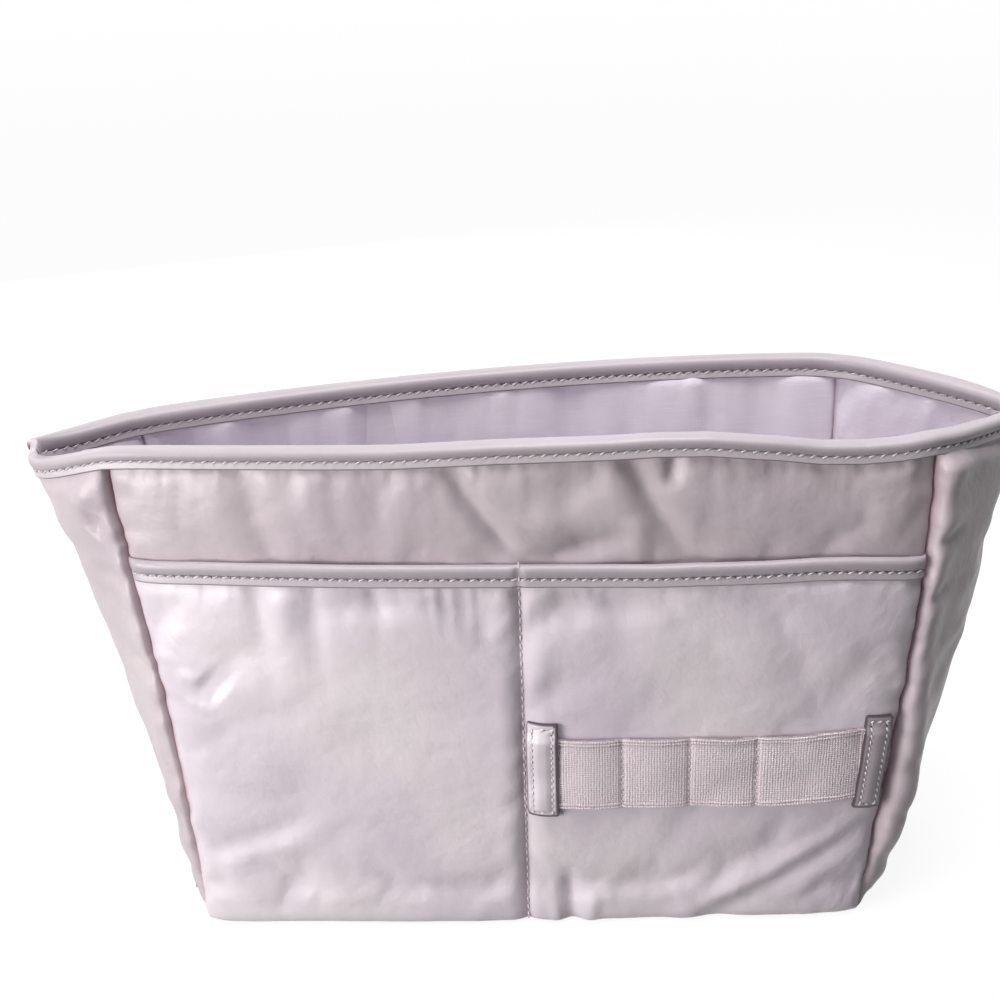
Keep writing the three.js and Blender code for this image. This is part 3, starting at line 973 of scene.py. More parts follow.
@dataclass(frozen=True)
class Leatherette:
    """Smooth coated tape: fine pebble grain, soft gloss, slight rubbing, and a dark cut edge whose colour
    also paints shade in creases, on the roll and on lee sides.
    """

    name: str
    main: Colour
    rubbed: Colour
    # dark colour of the cut edge, also used for painted shade
    edge: Colour
    pebble: float = 1500.0
    fine: float = 2600.0
    cloud: float = 35.0
    pebble_depth: float = 0.00004
    fine_depth: float = 0.00002

    def material(self) -> Material:
        """Builds the finish."""
        made = Shader(self.name)
        place = made.object_place()
        sockets = {"Vector": place, "Scale": self.pebble}
        pebble = made.node("ShaderNodeTexVoronoi", sockets, feature="SMOOTH_F1").outputs["Distance"]
        fine = made.grain(place, self.fine)
        cloud = made.grain(place, self.cloud, 3.0)
        tone = made.colour(made.range(cloud, 0.35, 0.75, 0.0, 1.0), rgb(*self.main), rgb(*self.rubbed))
        made.bump((pebble, self.pebble_depth), (fine, self.fine_depth))
        # painted shade: the seam attribute blends in the edge colour, for the cut edge and for shade
        return made.dress(
            Base_Color=made.colour(made.seam(), tone, rgb(*self.edge)),
            Roughness=made.range(cloud, 0.3, 0.7, 0.38, 0.5),
            Coat_Weight=0.12,
            Coat_Roughness=0.3,
            Specular_IOR_Level=0.5,
        )


@dataclass(frozen=True)
class WovenElastic:
    """Woven elastic: fat weft ribs crossed by fine rubber lines, with painted shade in the gaps between them
    and in its grooves.
    """

    name: str
    main: Colour
    # colour of the painted shade in the weave's gaps and grooves
    gap: Colour
    pale: Colour = (238, 230, 233)
    rib: float = 0.00098
    row: float = 0.0008
    fuzz: float = 2400.0
    cloud: float = 120.0
    knot_depth: float = 0.00025
    fuzz_depth: float = 0.0001

    def material(self) -> Material:
        """Builds the finish."""
        made = Shader(self.name)
        place, _, _ = made.cloth()
        fuzz = made.grain(place, self.fuzz)
        cloud = made.grain(place, self.cloud)
        ribs = made.scaled(place, (1 / self.rib, 1 / self.row, 1.0))
        sockets = {"Vector": ribs, "Scale": 1.0, "Randomness": 0.16}
        away = made.node("ShaderNodeTexVoronoi", sockets, voronoi_dimensions="2D").outputs["Distance"]
        knots = made.range(away, 0.1, 0.6, 1.0, 0.0)
        weave_gap_shade = made.math("MULTIPLY", made.range(away, 0.28, 0.62, 0.0, 1.0), 0.6)
        tone = made.colour(made.math("MAXIMUM", weave_gap_shade, made.seam()), rgb(*self.main), rgb(*self.gap))
        made.bump((knots, self.knot_depth), (fuzz, self.fuzz_depth))
        return made.dress(
            Base_Color=made.colour(made.range(cloud, 0.35, 0.65, 0.0, 0.35), tone, rgb(*self.pale)),
            Roughness=made.range(fuzz, 0.3, 0.7, 0.62, 0.85),
            Sheen_Weight=0.25,
            Sheen_Roughness=0.5,
            Specular_IOR_Level=0.3,
        )


@dataclass(frozen=True)
class Thread:
    """Sewing thread: twisted plies with a slight sheen."""

    name: str
    main: Colour
    shade: Colour
    twist: float = 900.0
    twist_depth: float = 0.00008

    def material(self) -> Material:
        """Builds the finish."""
        made = Shader(self.name)
        sockets = {"Vector": made.object_place(), "Scale": self.twist}
        twist = made.node("ShaderNodeTexWave", sockets, bands_direction="DIAGONAL").outputs["Fac"]
        made.bump((twist, self.twist_depth))
        return made.dress(
            Base_Color=made.colour(twist, rgb(*self.shade), rgb(*self.main)),
            Roughness=made.range(twist, 0.0, 1.0, 0.6, 0.42),
            Sheen_Weight=0.2,
            Sheen_Roughness=0.4,
        )


@dataclass(frozen=True)
class Board:
    """Grey packing board with pressed fibres."""

    name: str
    main: Colour
    fibre: Colour
    grain: Spot = (300.0, 900.0, 600.0)
    fibre_depth: float = 0.0001

    def material(self) -> Material:
        """Builds the finish."""
        made = Shader(self.name)
        fibres = made.grain(made.scaled(made.object_place(), self.grain), 1.0, 4.0)
        share = made.range(fibres, 0.35, 0.65, 0.0, 1.0)
        made.bump((fibres, self.fibre_depth))
        return made.dress(
            Base_Color=made.colour(share, rgb(*self.main), rgb(*self.fibre)),
            Roughness=made.range(fibres, 0.3, 0.7, 0.8, 0.95),
        )


class Palette:
    """The finishes of the insert."""

    # pink of the painted shade in the satin's seam valleys
    SEAM_SHADE_PINK = (156, 118, 126)
    # dark edge paint, also used as painted shade on the tape and the tabs
    DARK_EDGE_AND_SHADE = (78, 66, 74)
    SMOOTH = (0.25, 0.28)

    def __init__(self) -> None:
        """Builds every finish once."""
        pink, dark = self.SEAM_SHADE_PINK, self.DARK_EDGE_AND_SHADE
        self.satin = Satin("satin", (206, 194, 198), (190, 176, 184), pink).material()
        # painted sheen: the pocket's copy of the satin is lighter than the walls'
        self.pocket_satin = Satin("pocket_satin", (239, 230, 233), (219, 206, 219), pink).material()
        # the lining's third colour is the pink of its painted seam shade
        lining = Satin("lining_satin", (248, 240, 247), (238, 228, 241), (178, 154, 168), self.SMOOTH)
        self.lining = lining.material()
        rim = Leatherette("leatherette", (197, 187, 193), (205, 195, 200), (84, 72, 80))
        self.leatherette = rim.material()
        mouth = Leatherette("pocket_leatherette", (188, 178, 185), (197, 187, 193), dark)
        self.pocket_leatherette = mouth.material()
        # painted light: the two tabs get lit and shaded copies of one leatherette, the left lighter, the
        # right darker
        left, right = "left_tab_leatherette", "right_tab_leatherette"
        self.left_tab = Leatherette(left, (220, 210, 217), (227, 217, 223), dark).material()
        self.right_tab = Leatherette(right, (164, 154, 160), (172, 162, 168), (70, 60, 66)).material()
        self.elastic = WovenElastic("woven_elastic", (255, 240, 246), (198, 172, 182)).material()
        self.thread = Thread("thread", (250, 245, 248), (222, 211, 217)).material()
        # painted shade: dark domes stand for the shade in the needle holes
        self.hole = Thread("needle_hole", (92, 80, 88), (70, 60, 68)).material()
        self.board = Board("board", (140, 133, 128), (165, 158, 150)).material()


# Bodies that a piece follows


@dataclass(frozen=True)
class Hinge:
    """Where a wall leans on the base, and the height from low to high over which its cloth would turn."""

    body: str
    axis_y: float
    low: float = 4.0
    high: float = 26.0

    def bend(self, piece: Piece) -> None:
        """Bakes the cloth's place into its mesh; the cloth is not turned."""
        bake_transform(piece)


@dataclass(frozen=True)
class ArmBlend:
    """Where one arm of a folded end would follow its wall, at the seam, and stay still, at the crease."""

    body: str
    moved: Spot
    still: Spot

    def bend(self, piece: Piece) -> None:
        """Bakes the piece's place into its mesh; the piece is not stretched."""
        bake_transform(piece)


def arm_part(count: int, wall: Wall, end: End) -> slice:
    """Which of a folded end's columns make its arm beside one wall, with the crease."""
    middle = count // 2
    return slice(None, middle + 1) if (wall is Wall.FRONT) == (end is End.RIGHT) else slice(middle, None)


def arm_blend(loop: WallLoop, wall: Wall, end: End) -> ArmBlend:
    """The blend of one arm of a folded end.

    Args:
        loop: the walls.
        wall: the wall that the arm is sewn to.
        end: the folded end.

    Returns:
        Where the arm follows the wall, and where it is still.
    """
    seam_margin, crease_margin, still_rows = 5.0, 3.0, loop.ROWS // 5
    turns = np.radians(np.arange(0, 61, 5))
    columns = loop.columns(Wall[end.name])
    crease = loop.middle[columns[len(columns) // 2], still_rows:]
    starts_here = (wall is Wall.FRONT) == (end is End.RIGHT)
    seam = loop.middle[columns[0 if starts_here else -1], still_rows:]
    along = unit(crease[-1] - crease[0])
    across = np.array((0.0, -1.0 if wall is Wall.FRONT else 1.0, 0.0))
    across = unit(across - along * (across @ along))
    inward = np.cross(along, across)
    inward *= np.sign(inward @ (seam[-1] - crease[-1]))
    ways = [across * math.cos(turn) + inward * math.sin(turn) for turn in turns]
    way = max(ways, key=lambda way: (seam @ way).min() - (crease @ way).max())
    still = way * ((crease @ way).max() + crease_margin)
    moved = way * ((seam @ way).min() - seam_margin)
    body = wall.name.lower()
    log.info("%s arm of the %s end: blends over %.1f mm", body, end.value, float((moved - still) @ way))
    return ArmBlend(body, tuple(moved), tuple(still))


# Stitching


@dataclass
class SewnLine:
    """A line of sewing: points on the cloth, in millimetres, and the direction out of the cloth at each."""

    points: Array
    facing: Array


@dataclass(frozen=True)
class Stitch:
    """A kind of stitch: its pitch and thread in millimetres, and its slant off the line in radians."""

    pitch: float
    thread: float
    slant: float


class StitchTree:
    """Geometry nodes that lay slanted stitches along sewn lines, with dark domes of painted shade for the
    needle holes.
    """

    STITCH_SHARE = 0.8
    LOOSENESS = 0.08
    SEED = 7

    def __init__(self, palette: Palette) -> None:
        """Builds the tree and the two small shapes that it repeats."""
        self.palette = palette
        self.thread = self._thread_shape()
        self.hole = self._hole_shape()
        self.tree = self._tree()

    @staticmethod
    def _thread_shape() -> Piece:
        """One stitch of unit length: a bowed strand whose ends dive into the cloth."""
        sides, rings = 6, 6
        points, faces = [], []
        for ring in range(rings):
            share = ring / (rings - 1)
            x = share - 0.5
            radius = 0.5 * (0.4 + 0.6 * math.sin(math.pi * share) ** 0.7)
            lift = 0.42 - 1.1 * (2 * share - 1) ** 4
            for side in range(sides):
                angle = 2 * math.pi * side / sides + 0.9 * share
                points.append((x, radius * math.cos(angle), lift + radius * math.sin(angle)))
        for ring in range(rings - 1):
            for side in range(sides):
                a, b = ring * sides + side, ring * sides + (side + 1) % sides
                faces.append((a, b, b + sides, a + sides))
        faces += [tuple(range(sides - 1, -1, -1)), tuple(range((rings - 1) * sides, rings * sides))]
        return StitchTree._hidden("stitch_shape", points, faces)

    @staticmethod
    def _hole_shape() -> Piece:
        """One needle hole of unit width: a low dark dome of painted shade."""
        sides, foot, rise = 8, -0.2, 0.12
        turns = [2 * math.pi * i / sides for i in range(sides)]
        rim = [(0.5 * math.cos(turn), 0.5 * math.sin(turn), foot) for turn in turns]
        faces = [(i, (i + 1) % sides, sides) for i in range(sides)] + [tuple(range(sides - 1, -1, -1))]
        return StitchTree._hidden("hole_shape", rim + [(0, 0, rise)], faces)

    @staticmethod
    def _hidden(name: str, points: list, faces: list) -> Piece:
        """An object that only the tree uses."""
        mesh = bpy.data.meshes.new(name)
        mesh.from_pydata(points, [], faces)
        mesh.shade_smooth()
        return bpy.data.objects.new(name, mesh)

    def _tree(self) -> bpy.types.NodeTree:
        """Lines in, stitches and holes out."""
        tree = bpy.data.node_groups.new("stitch_rows", "GeometryNodeTree")
        sockets = {
            "Geometry": ("Lines",),
            "Float": ("Pitch", "Length", "Width", "Slant", "Hole Width"),
            "Object": ("Stitch", "Hole"),
            "Material": ("Thread Finish", "Hole Finish"),
        }
        for kind, names in sockets.items():
            for name in names:
                tree.interface.new_socket(name, in_out="INPUT", socket_type=f"NodeSocket{kind}")
        tree.interface.new_socket("Stitches", in_out="OUTPUT", socket_type="NodeSocketGeometry")
        nodes = Nodes(tree)
        given = nodes.node("NodeGroupInput").outputs
        curve = nodes.node("GeometryNodeMeshToCurve", {"Mesh": given["Lines"]}).outputs[0]
        evenly = {"Curve": curve, "Length": given["Pitch"]}
        even = nodes.node("GeometryNodeResampleCurve", evenly, mode="LENGTH").outputs[0]
        named = {"Name": "facing"}
        facing = nodes.node("GeometryNodeInputNamedAttribute", named, data_type="FLOAT_VECTOR").outputs[0]
        tangent = nodes.node("GeometryNodeInputTangent").outputs[0]
        align = "FunctionNodeAlignRotationToVector"
        along = nodes.node(align, {"Vector": tangent}, axis="X").outputs[0]
        raised = {"Rotation": along, "Vector": facing}
        upright = nodes.node(align, raised, axis="Z", pivot_axis="X").outputs[0]
        limits = {2: -self.LOOSENESS, 3: self.LOOSENESS, "Seed": self.SEED}
        chance = nodes.node("FunctionNodeRandomValue", limits, data_type="FLOAT").outputs[1]
        turn = nodes.math("ADD", given["Slant"], chance)
        euler = nodes.node("ShaderNodeCombineXYZ", {"Z": turn}).outputs[0]
        spin = nodes.node("FunctionNodeEulerToRotation", {0: euler}).outputs[0]
        turned = {"Rotation": upright, "Rotate By": spin}
        slanted = nodes.node("FunctionNodeRotateRotation", turned, rotation_space="LOCAL").outputs[0]
        half = nodes.math("MULTIPLY", given["Pitch"], 0.5)
        step = nodes.node("ShaderNodeVectorMath", {0: tangent, "Scale": half}, operation="SCALE").outputs[0]
        shifted = nodes.node("GeometryNodeSetPosition", {"Geometry": even, "Offset": step}).outputs[0]
        joined = nodes.node("GeometryNodeJoinGeometry")
        branches = (
            ("Stitch", even, slanted, ("Length", "Width", "Width"), "Thread Finish"),
            ("Hole", shifted, upright, ("Hole Width",) * 3, "Hole Finish"),
        )
        for shape, points, rotation, sizes, finish in branches:
            info = {"Object": given[shape]}
            source = nodes.node("GeometryNodeObjectInfo", info, transform_space="ORIGINAL")
            size = nodes.node("ShaderNodeCombineXYZ", {axis: given[name] for axis, name in zip("XYZ", sizes)})
            laid = {"Points": points, "Instance": source.outputs["Geometry"], "Rotation": rotation}
            copies = nodes.node("GeometryNodeInstanceOnPoints", {**laid, "Scale": size.outputs[0]})
            real = nodes.node("GeometryNodeRealizeInstances", {0: copies.outputs[0]})
            dress = {"Geometry": real.outputs[0], "Material": given[finish]}
            nodes.feed(joined.inputs[0], nodes.node("GeometryNodeSetMaterial", dress).outputs[0])
        nodes.node("NodeGroupOutput", {0: joined.outputs[0]})
        return tree

    def sew(self, name: str, rows: list[SewnLine], stitch: Stitch) -> Piece:
        """Stitches along several lines, as one plain mesh.

        Args:
            name: name of the piece.
            rows: lines to follow.
            stitch: how they are sewn.

        Returns:
            The piece.
        """
        points = np.concatenate([row.points for row in rows])
        facing = np.concatenate([row.facing for row in rows])
        edges, start = [], 0
        for row in rows:
            edges += [(start + i, start + i + 1) for i in range(len(row.points) - 1)]
            start += len(row.points)
        lines = bpy.data.meshes.new(name + "_lines")
        lines.from_pydata((points * MM).tolist(), edges, [])
        layer = lines.attributes.new("facing", "FLOAT_VECTOR", "POINT")
        layer.data.foreach_set("vector", facing.astype(np.float32).ravel())
        maker = bpy.data.objects.new(name + "_maker", lines)
        bpy.context.scene.collection.objects.link(maker)
        nodes = maker.modifiers.new("stitches", "NODES")
        nodes.node_group = self.tree
        pitch, width = stitch.pitch, stitch.thread * MM
        values = {
            "Pitch": pitch * MM, "Length": self.STITCH_SHARE * pitch * MM, "Width": width,
            "Slant": stitch.slant, "Hole Width": width, "Stitch": self.thread, "Hole": self.hole,
            "Thread Finish": self.palette.thread, "Hole Finish": self.palette.hole,
        }
        for socket in self.tree.interface.items_tree:
            if socket.in_out == "INPUT" and socket.name in values:
                nodes[socket.identifier] = values[socket.name]
        bpy.context.view_layer.update()
        shown = maker.evaluated_get(bpy.context.evaluated_depsgraph_get())
        mesh = bpy.data.meshes.new_from_object(shown)
        mesh.name = name
        bpy.data.objects.remove(maker)
        piece = bpy.data.objects.new(name, mesh)
        bpy.context.scene.collection.objects.link(piece)
        log.info("%s: %d faces", name, len(mesh.polygons))
        return piece


# Binding tape


@dataclass(frozen=True)
class TapeSection:
    """Section of a folded binding tape: flat lips, a groove of stitches and a plump roll over the edge."""

    inside: float
    lip: float
    roll: float
    foot: float
    stitch: float
    crown: float
    back_lip: float
    back_roll: float
    # strength of the painted shade on the roll
    shade: float = 0.8

    def side(self, lip: float, roll: float, turn: int) -> list[Spot]:
        """One side from the foot of its lip up to the crown, as distance out, height, and strength of the
        dark cut edge and painted shade.

        Args:
            lip: how far the lip's face stands out.
            roll: how far the roll stands out.
            turn: 1 for the outer side, -1 for the inner side.

        Returns:
            The points, from the foot up.
        """
        foot, stitch, shade = self.foot, self.stitch, self.shade
        cut = lip - (0.85 if roll > lip else 0.3)
        # third values: dark cut edge at the lip's foot, painted shade in the crease over the stitches, and
        # painted shade on the roll's lower face
        shape = [
            (lip - 0.75, foot, 0.9),
            (lip - 0.25, foot - 0.02, 1.0),
            (lip - 0.02, foot + 0.22, 0.75),
            (lip, foot + 0.55, 0.0),
            (lip - 0.06, mix(foot, stitch, 0.45), 0.0),
            (lip - 0.16, mix(foot, stitch, 0.8), 0.0),
            (lip - 0.4, stitch, 0.1),
            (cut, stitch + 0.32, 0.9),
            (mix(cut, roll, 0.55), stitch + 0.62, 0.5 * shade),
            (mix(cut, roll, 0.78), stitch + 1.2, 0.46 * shade),
            (mix(cut, roll, 0.92), stitch + 2.0, 0.42 * shade),
        ]
        return [(turn * out, above, edge) for out, above, edge in shape]

    def outline(self) -> Array:
        """The whole section: outer lip, crown, inner lip and back through the channel."""
        outer = self.side(self.lip, self.roll, 1)
        inner = self.side(self.back_lip, self.back_roll, -1)
        low, steps = self.stitch + 2.8, 18
        crown = []
        for step in range(steps + 1):
            angle = math.pi * step / steps
            reach = self.roll if angle < math.pi / 2 else -self.back_roll
            out = reach * abs(math.cos(angle)) ** 0.62
            # painted shade on the crown's sides, none on its top
            shade = 0.38 * self.shade * max(abs(math.cos(angle)) - 0.45, 0) / 0.55
            crown.append((out, low + (self.crown - low) * math.sin(angle) ** 0.85, shade))
        back = [(-self.inside, self.foot + 0.2, 0.6)]
        ceiling = self.crown - 1.4 * self.inside
        channel = [(x, ceiling, 0.0) for x in np.linspace(-self.inside, self.inside, 7)]
        front = [(self.inside, self.foot + 0.2, 0.6)]
        return np.array(outer + crown + inner[::-1] + back + channel + front)

    def grooves(self) -> list[int]:
        """Numbers of the section points where stitches lie, the outer row first."""
        return [i for i, point in enumerate(self.outline()) if abs(point[1] - self.stitch) < 1e-6]

    def dimples(self, place: Array, pitch: float, depth: Array | float, reach: float) -> Array:
        """Factor on the thickness that draws the tape in at each stitch.

        Args:
            place: distance along the tape.
            pitch: distance from stitch to stitch.
            depth: share of the thickness that a stitch takes.
            reach: height over which it is felt.

        Returns:
            The factor at each place and section point.
        """
        tight = bell(self.outline()[None, :, 1] - self.stitch, reach)
        return 1 - depth * tight * (0.5 + 0.5 * np.cos(2 * np.pi * place / pitch))


def swept_tape(
    path: Array, out: Array, up: Array, section: Array, swell: Array, heights: Array
) -> tuple[Array, Array]:
    """Sweeps a tape section along an edge.

    Args:
        path: points of the covered edge.
        out: direction out of the wall at each point.
        up: direction along the wall at each point.
        section: distance out, height, and strength of the dark cut edge and painted shade, of each section
            point.
        swell: factor on the thickness at each point of the path and section.
        heights: height at each point of the path and section.

    Returns:
        Loops of points and their normals.
    """
    reach = section[None, :, 0] * swell
    loops = path[:, None] + out[:, None] * reach[..., None] + up[:, None] * heights[..., None]
    along = np.gradient(loops, axis=0)
    around = np.roll(loops, -1, axis=1) - np.roll(loops, 1, axis=1)
    return loops, unit(np.cross(along, around))


SLIM_TIP = 0.36


def near_tip(away: Array) -> Array:
    """1 at the tip of a folded end, where the tape is pulled tight, fading along the rim."""
    return bell(away, 15.0)


@dataclass
class RimBinding:
    """Leatherette tape over the rim of all four walls, parted at the seams and at the creases."""

    loop: WallLoop
    palette: Palette
    stitches: StitchTree
    section: TapeSection = TapeSection(2.45, 3.7, 4.15, -4.6, -1.95, 3.9, 3.7, 4.15)
    stitch: Stitch = Stitch(3.83, 0.68, 0.36)
    pressed: float = 0.24
    uneven: Swell = Swell(0.035, (26.0, 1.0), 5)
    dimple_depth: float = 0.05
    dimple_reach: float = 1.3

    def build(self, arms: dict[tuple[Wall, End], ArmBlend]) -> None:
        """Makes the tape and its stitches for each wall and each arm of the folded ends.

        Args:
            arms: where each arm of the folded ends would follow its wall.
        """
        loop, section = self.loop, self.section
        path, out, up = loop.middle[:, -1], loop.normal[:, -1], loop.up[:, -1]
        outline = section.outline()
        place = arc_lengths(np.concatenate([path, path[:1]])[:, None])[:-1, :1]
        tips = [place[loop.first[Wall[end.name]] + loop.END_COLUMNS // 2] for end in End]
        swell = 1 + self.uneven.relief(place, 0 * place, 0)
        swell = swell * section.dimples(place, self.stitch.pitch, self.dimple_depth, self.dimple_reach)
        swell *= 1 - SLIM_TIP * sum(near_tip(np.abs(place - tip)) for tip in tips)
        above = np.maximum(outline[None, :, 1] - section.stitch, 0)
        heights = outline[None, :, 1] - above * self.pressed * self._frontness()[:, None]
        ringed = [np.concatenate([a[-2:], a, a[:2]]) for a in (path, out, up, swell, heights)]
        sweep = tuple(a[2:-2] for a in swept_tape(*ringed[:3], outline, *ringed[3:]))
        for wall in (Wall.FRONT, Wall.BACK):
            body = wall.name.lower()
            for piece in self._stretch(body, body, loop.columns(wall), sweep):
                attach(piece, body)
        for (wall, end), arm in arms.items():
            columns = loop.columns(Wall[end.name])
            columns = columns[arm_part(len(columns), wall, end)]
            for piece in self._stretch(f"{end.value}_{wall.name.lower()}", end.value, columns, sweep):
                arm.bend(piece)

    def _frontness(self) -> Array:
        """1 along the front, where the tape is pressed flatter, and 0 along the back."""
        turn = np.linspace(0, 1, self.loop.END_COLUMNS, endpoint=False)
        main = np.ones(self.loop.MAIN_COLUMNS)
        return np.concatenate([main, 1 - ease(0.15, 0.85, turn), 0 * main, ease(0.42, 0.58, turn)])

    def _stretch(
        self, name: str, side: str, columns: Array, sweep: tuple[Array, Array]
    ) -> tuple[Piece, Piece]:
        """One stretch of tape, and the rows of stitches on both its sides.

        Args:
            name: start of the pieces' names.
            side: wall or end whose binding the tape replaces.
            columns: numbers of its stations.
            sweep: loops of points round the whole rim, and their normals.

        Returns:
            The tape and the stitches.
        """
        loops, normals = (a[columns] for a in sweep)
        cut = self.section.outline()[:, 2]
        tape = tube(f"{name}_rim_tape", loops, normals, cut, self.palette.leatherette)
        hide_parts(f"{side}_rim_binding")
        rows = [SewnLine(loops[:, i], normals[:, i]) for i in self.section.grooves()]
        return tape, self.stitches.sew(f"{name}_rim_stitches", rows, self.stitch)


# Walls


FLOOR_CLEARANCE = 0.08
TUCK = 7.0
UNDER_LIP = -3.0


def clear_of_lip(below_lip: Array, reach: float = 2.5) -> Array:
    """0 where the rim tape holds a cloth flat, 1 from the reach below its lip."""
    return ease(-4.0, reach, below_lip)


def tucked(points: Array, normals: Array, from_seam: Array, depth: float, steps: int = 9) -> Array:
    """Carries the foot of a cloth round the bottom edge and in below the base, mitred at its corners.

    Args:
        points: columns by rows of the cloth, its foot at row 0.
        normals: directions out of the wall.
        from_seam: distance of each point from the nearer side seam.
        depth: how far the roll goes in, and after it the flat edge below the base.
        steps: rows round the roll.

    Returns:
        The rows below the foot, lowest first.
    """
    foot = points[:, 0]
    down = unit(points[:, 0] - points[:, 1])
    level = unit(normals[:, 0] * (1.0, 1.0, 0.0))
    corner_radius, corner_flap, mitre, first_pull, second_pull = 2.5, 0.2, 0.9, 0.8, 0.75
    radius = np.minimum(depth, corner_radius + mitre * from_seam[:, :1])
    flap = np.minimum(depth, corner_flap + mitre * np.maximum(from_seam[:, :1] - depth, 0))
    bottom = foot - level * radius
    bottom[:, 2] = FLOOR_CLEARANCE
    first = foot + down * first_pull * foot[:, 2:]
    second = bottom + level * second_pull * radius
    rows = [bottom - level * flap]
    for step in range(steps, 0, -1):
        s = step / steps
        r = 1 - s
        rows.append(r**3 * foot + 3 * r**2 * s * first + 3 * r * s * s * second + s**3 * bottom)
    return np.stack(rows, axis=1)


def padded_cloth(points: Array, seam: Array, back: Array, tuck: Array | None) -> tuple[Skin, Skin]:
    """Outer and inner skins of a padded wall, with its foot carried under the base.

    Args:
        points: outer face of the wall.
        seam: strength of the painted seam shade.
        back: inner face of the padding.
        tuck: rows below the foot, or none.

    Returns:
        The outer and the inner skin.
    """
    if tuck is None:
        return skin(points, seam), skin(back, seam, inward=True)
    below = tuck.shape[1]
    whole = np.concatenate([tuck, points], axis=1)
    normals = grid_normals(whole)
    close = whole - normals * LAYERS.cloth
    ramp_rows = 8
    ramp = ease(below, below + ramp_rows, np.arange(whole.shape[1]))[None, :, None]
    deep = np.concatenate([close[:, :below], back], axis=1)
    inner = mix(close, deep, ramp)
    inner[..., 2] = np.maximum(inner[..., 2], FLOOR_CLEARANCE)
    shade = np.concatenate([np.repeat(seam[:, :1], below, axis=1), seam], axis=1)
    return skin(whole, shade), skin(inner, shade, inward=True)


def lining_skins(points: Array, normals: Array, relief: Array, seam: Array) -> tuple[Skin, Skin]:
    """Both skins of a lining, the hidden one first.

    Args:
        points: middle of the wall.
        normals: directions out of the wall.
        relief: how far the lining stands into the insert.
        seam: strength of the painted seam shade.

    Returns:
        The skin against the foam and the skin that shows.
    """
    hidden = points + normals * LAYERS.lining_back
    shown = points + normals * (LAYERS.lining - relief)[..., None]
    return skin(hidden, seam), skin(shown, seam, inward=True)


def lining_sag(loose: Array, from_seam: Array, below_lip: Array) -> Array:
    """Loose folds of a lining, held flat at its rim and drawn back into its side seams."""
    held_reach, seam_reach, seam_depth = 8.0, 3.0, 0.9
    held = clear_of_lip(below_lip) * pillow(from_seam, held_reach)
    return loose * held - seam_depth * (1 - pillow(from_seam, seam_reach))


def cut_size(points: Array) -> tuple[tuple[float, float], float]:
    """Flat size of a cloth from its grid: width and length of the cut, and its area, in metres."""
    width = arc_lengths(points)[-1].max() * MM
    length = arc_lengths(points.swapaxes(0, 1))[-1].max() * MM
    across, up = np.diff(points, axis=0)[:, :-1], np.diff(points, axis=1)[:-1]
    area = np.linalg.norm(np.cross(across, up), axis=-1).sum() * MM * MM
    return (width, length), min(area, width * length)


def padded_piece(name: str, skins: list[Skin], side: str, finish: Material) -> Piece:
    """A padded cloth that stands for the shell and foam of one side.

    Args:
        name: name of the piece.
        skins: its outer and inner skin.
        side: start of the names of the solids that it replaces.
        finish: its satin.

    Returns:
        The piece.
    """
    cloth = slab(name, *skins, finish)
    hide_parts(f"{side}_shell", f"{side}_foam")
    return cloth


def lining_piece(
    name: str, skins: list[Skin], side: str, points: Array, finish: Material
) -> Piece:
    """A lining sheet that lies on a padded cloth.

    Args:
        name: name of the piece.
        skins: its hidden and its shown skin.
        side: start of the name of the solid that it replaces.
        points: grid whose flat size is worked out and not used.
        finish: its satin.

    Returns:
        The piece.
    """
    lining = slab(name, *skins, finish)
    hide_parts(f"{side}_lining")
    flat, area = cut_size(points)
    return lining


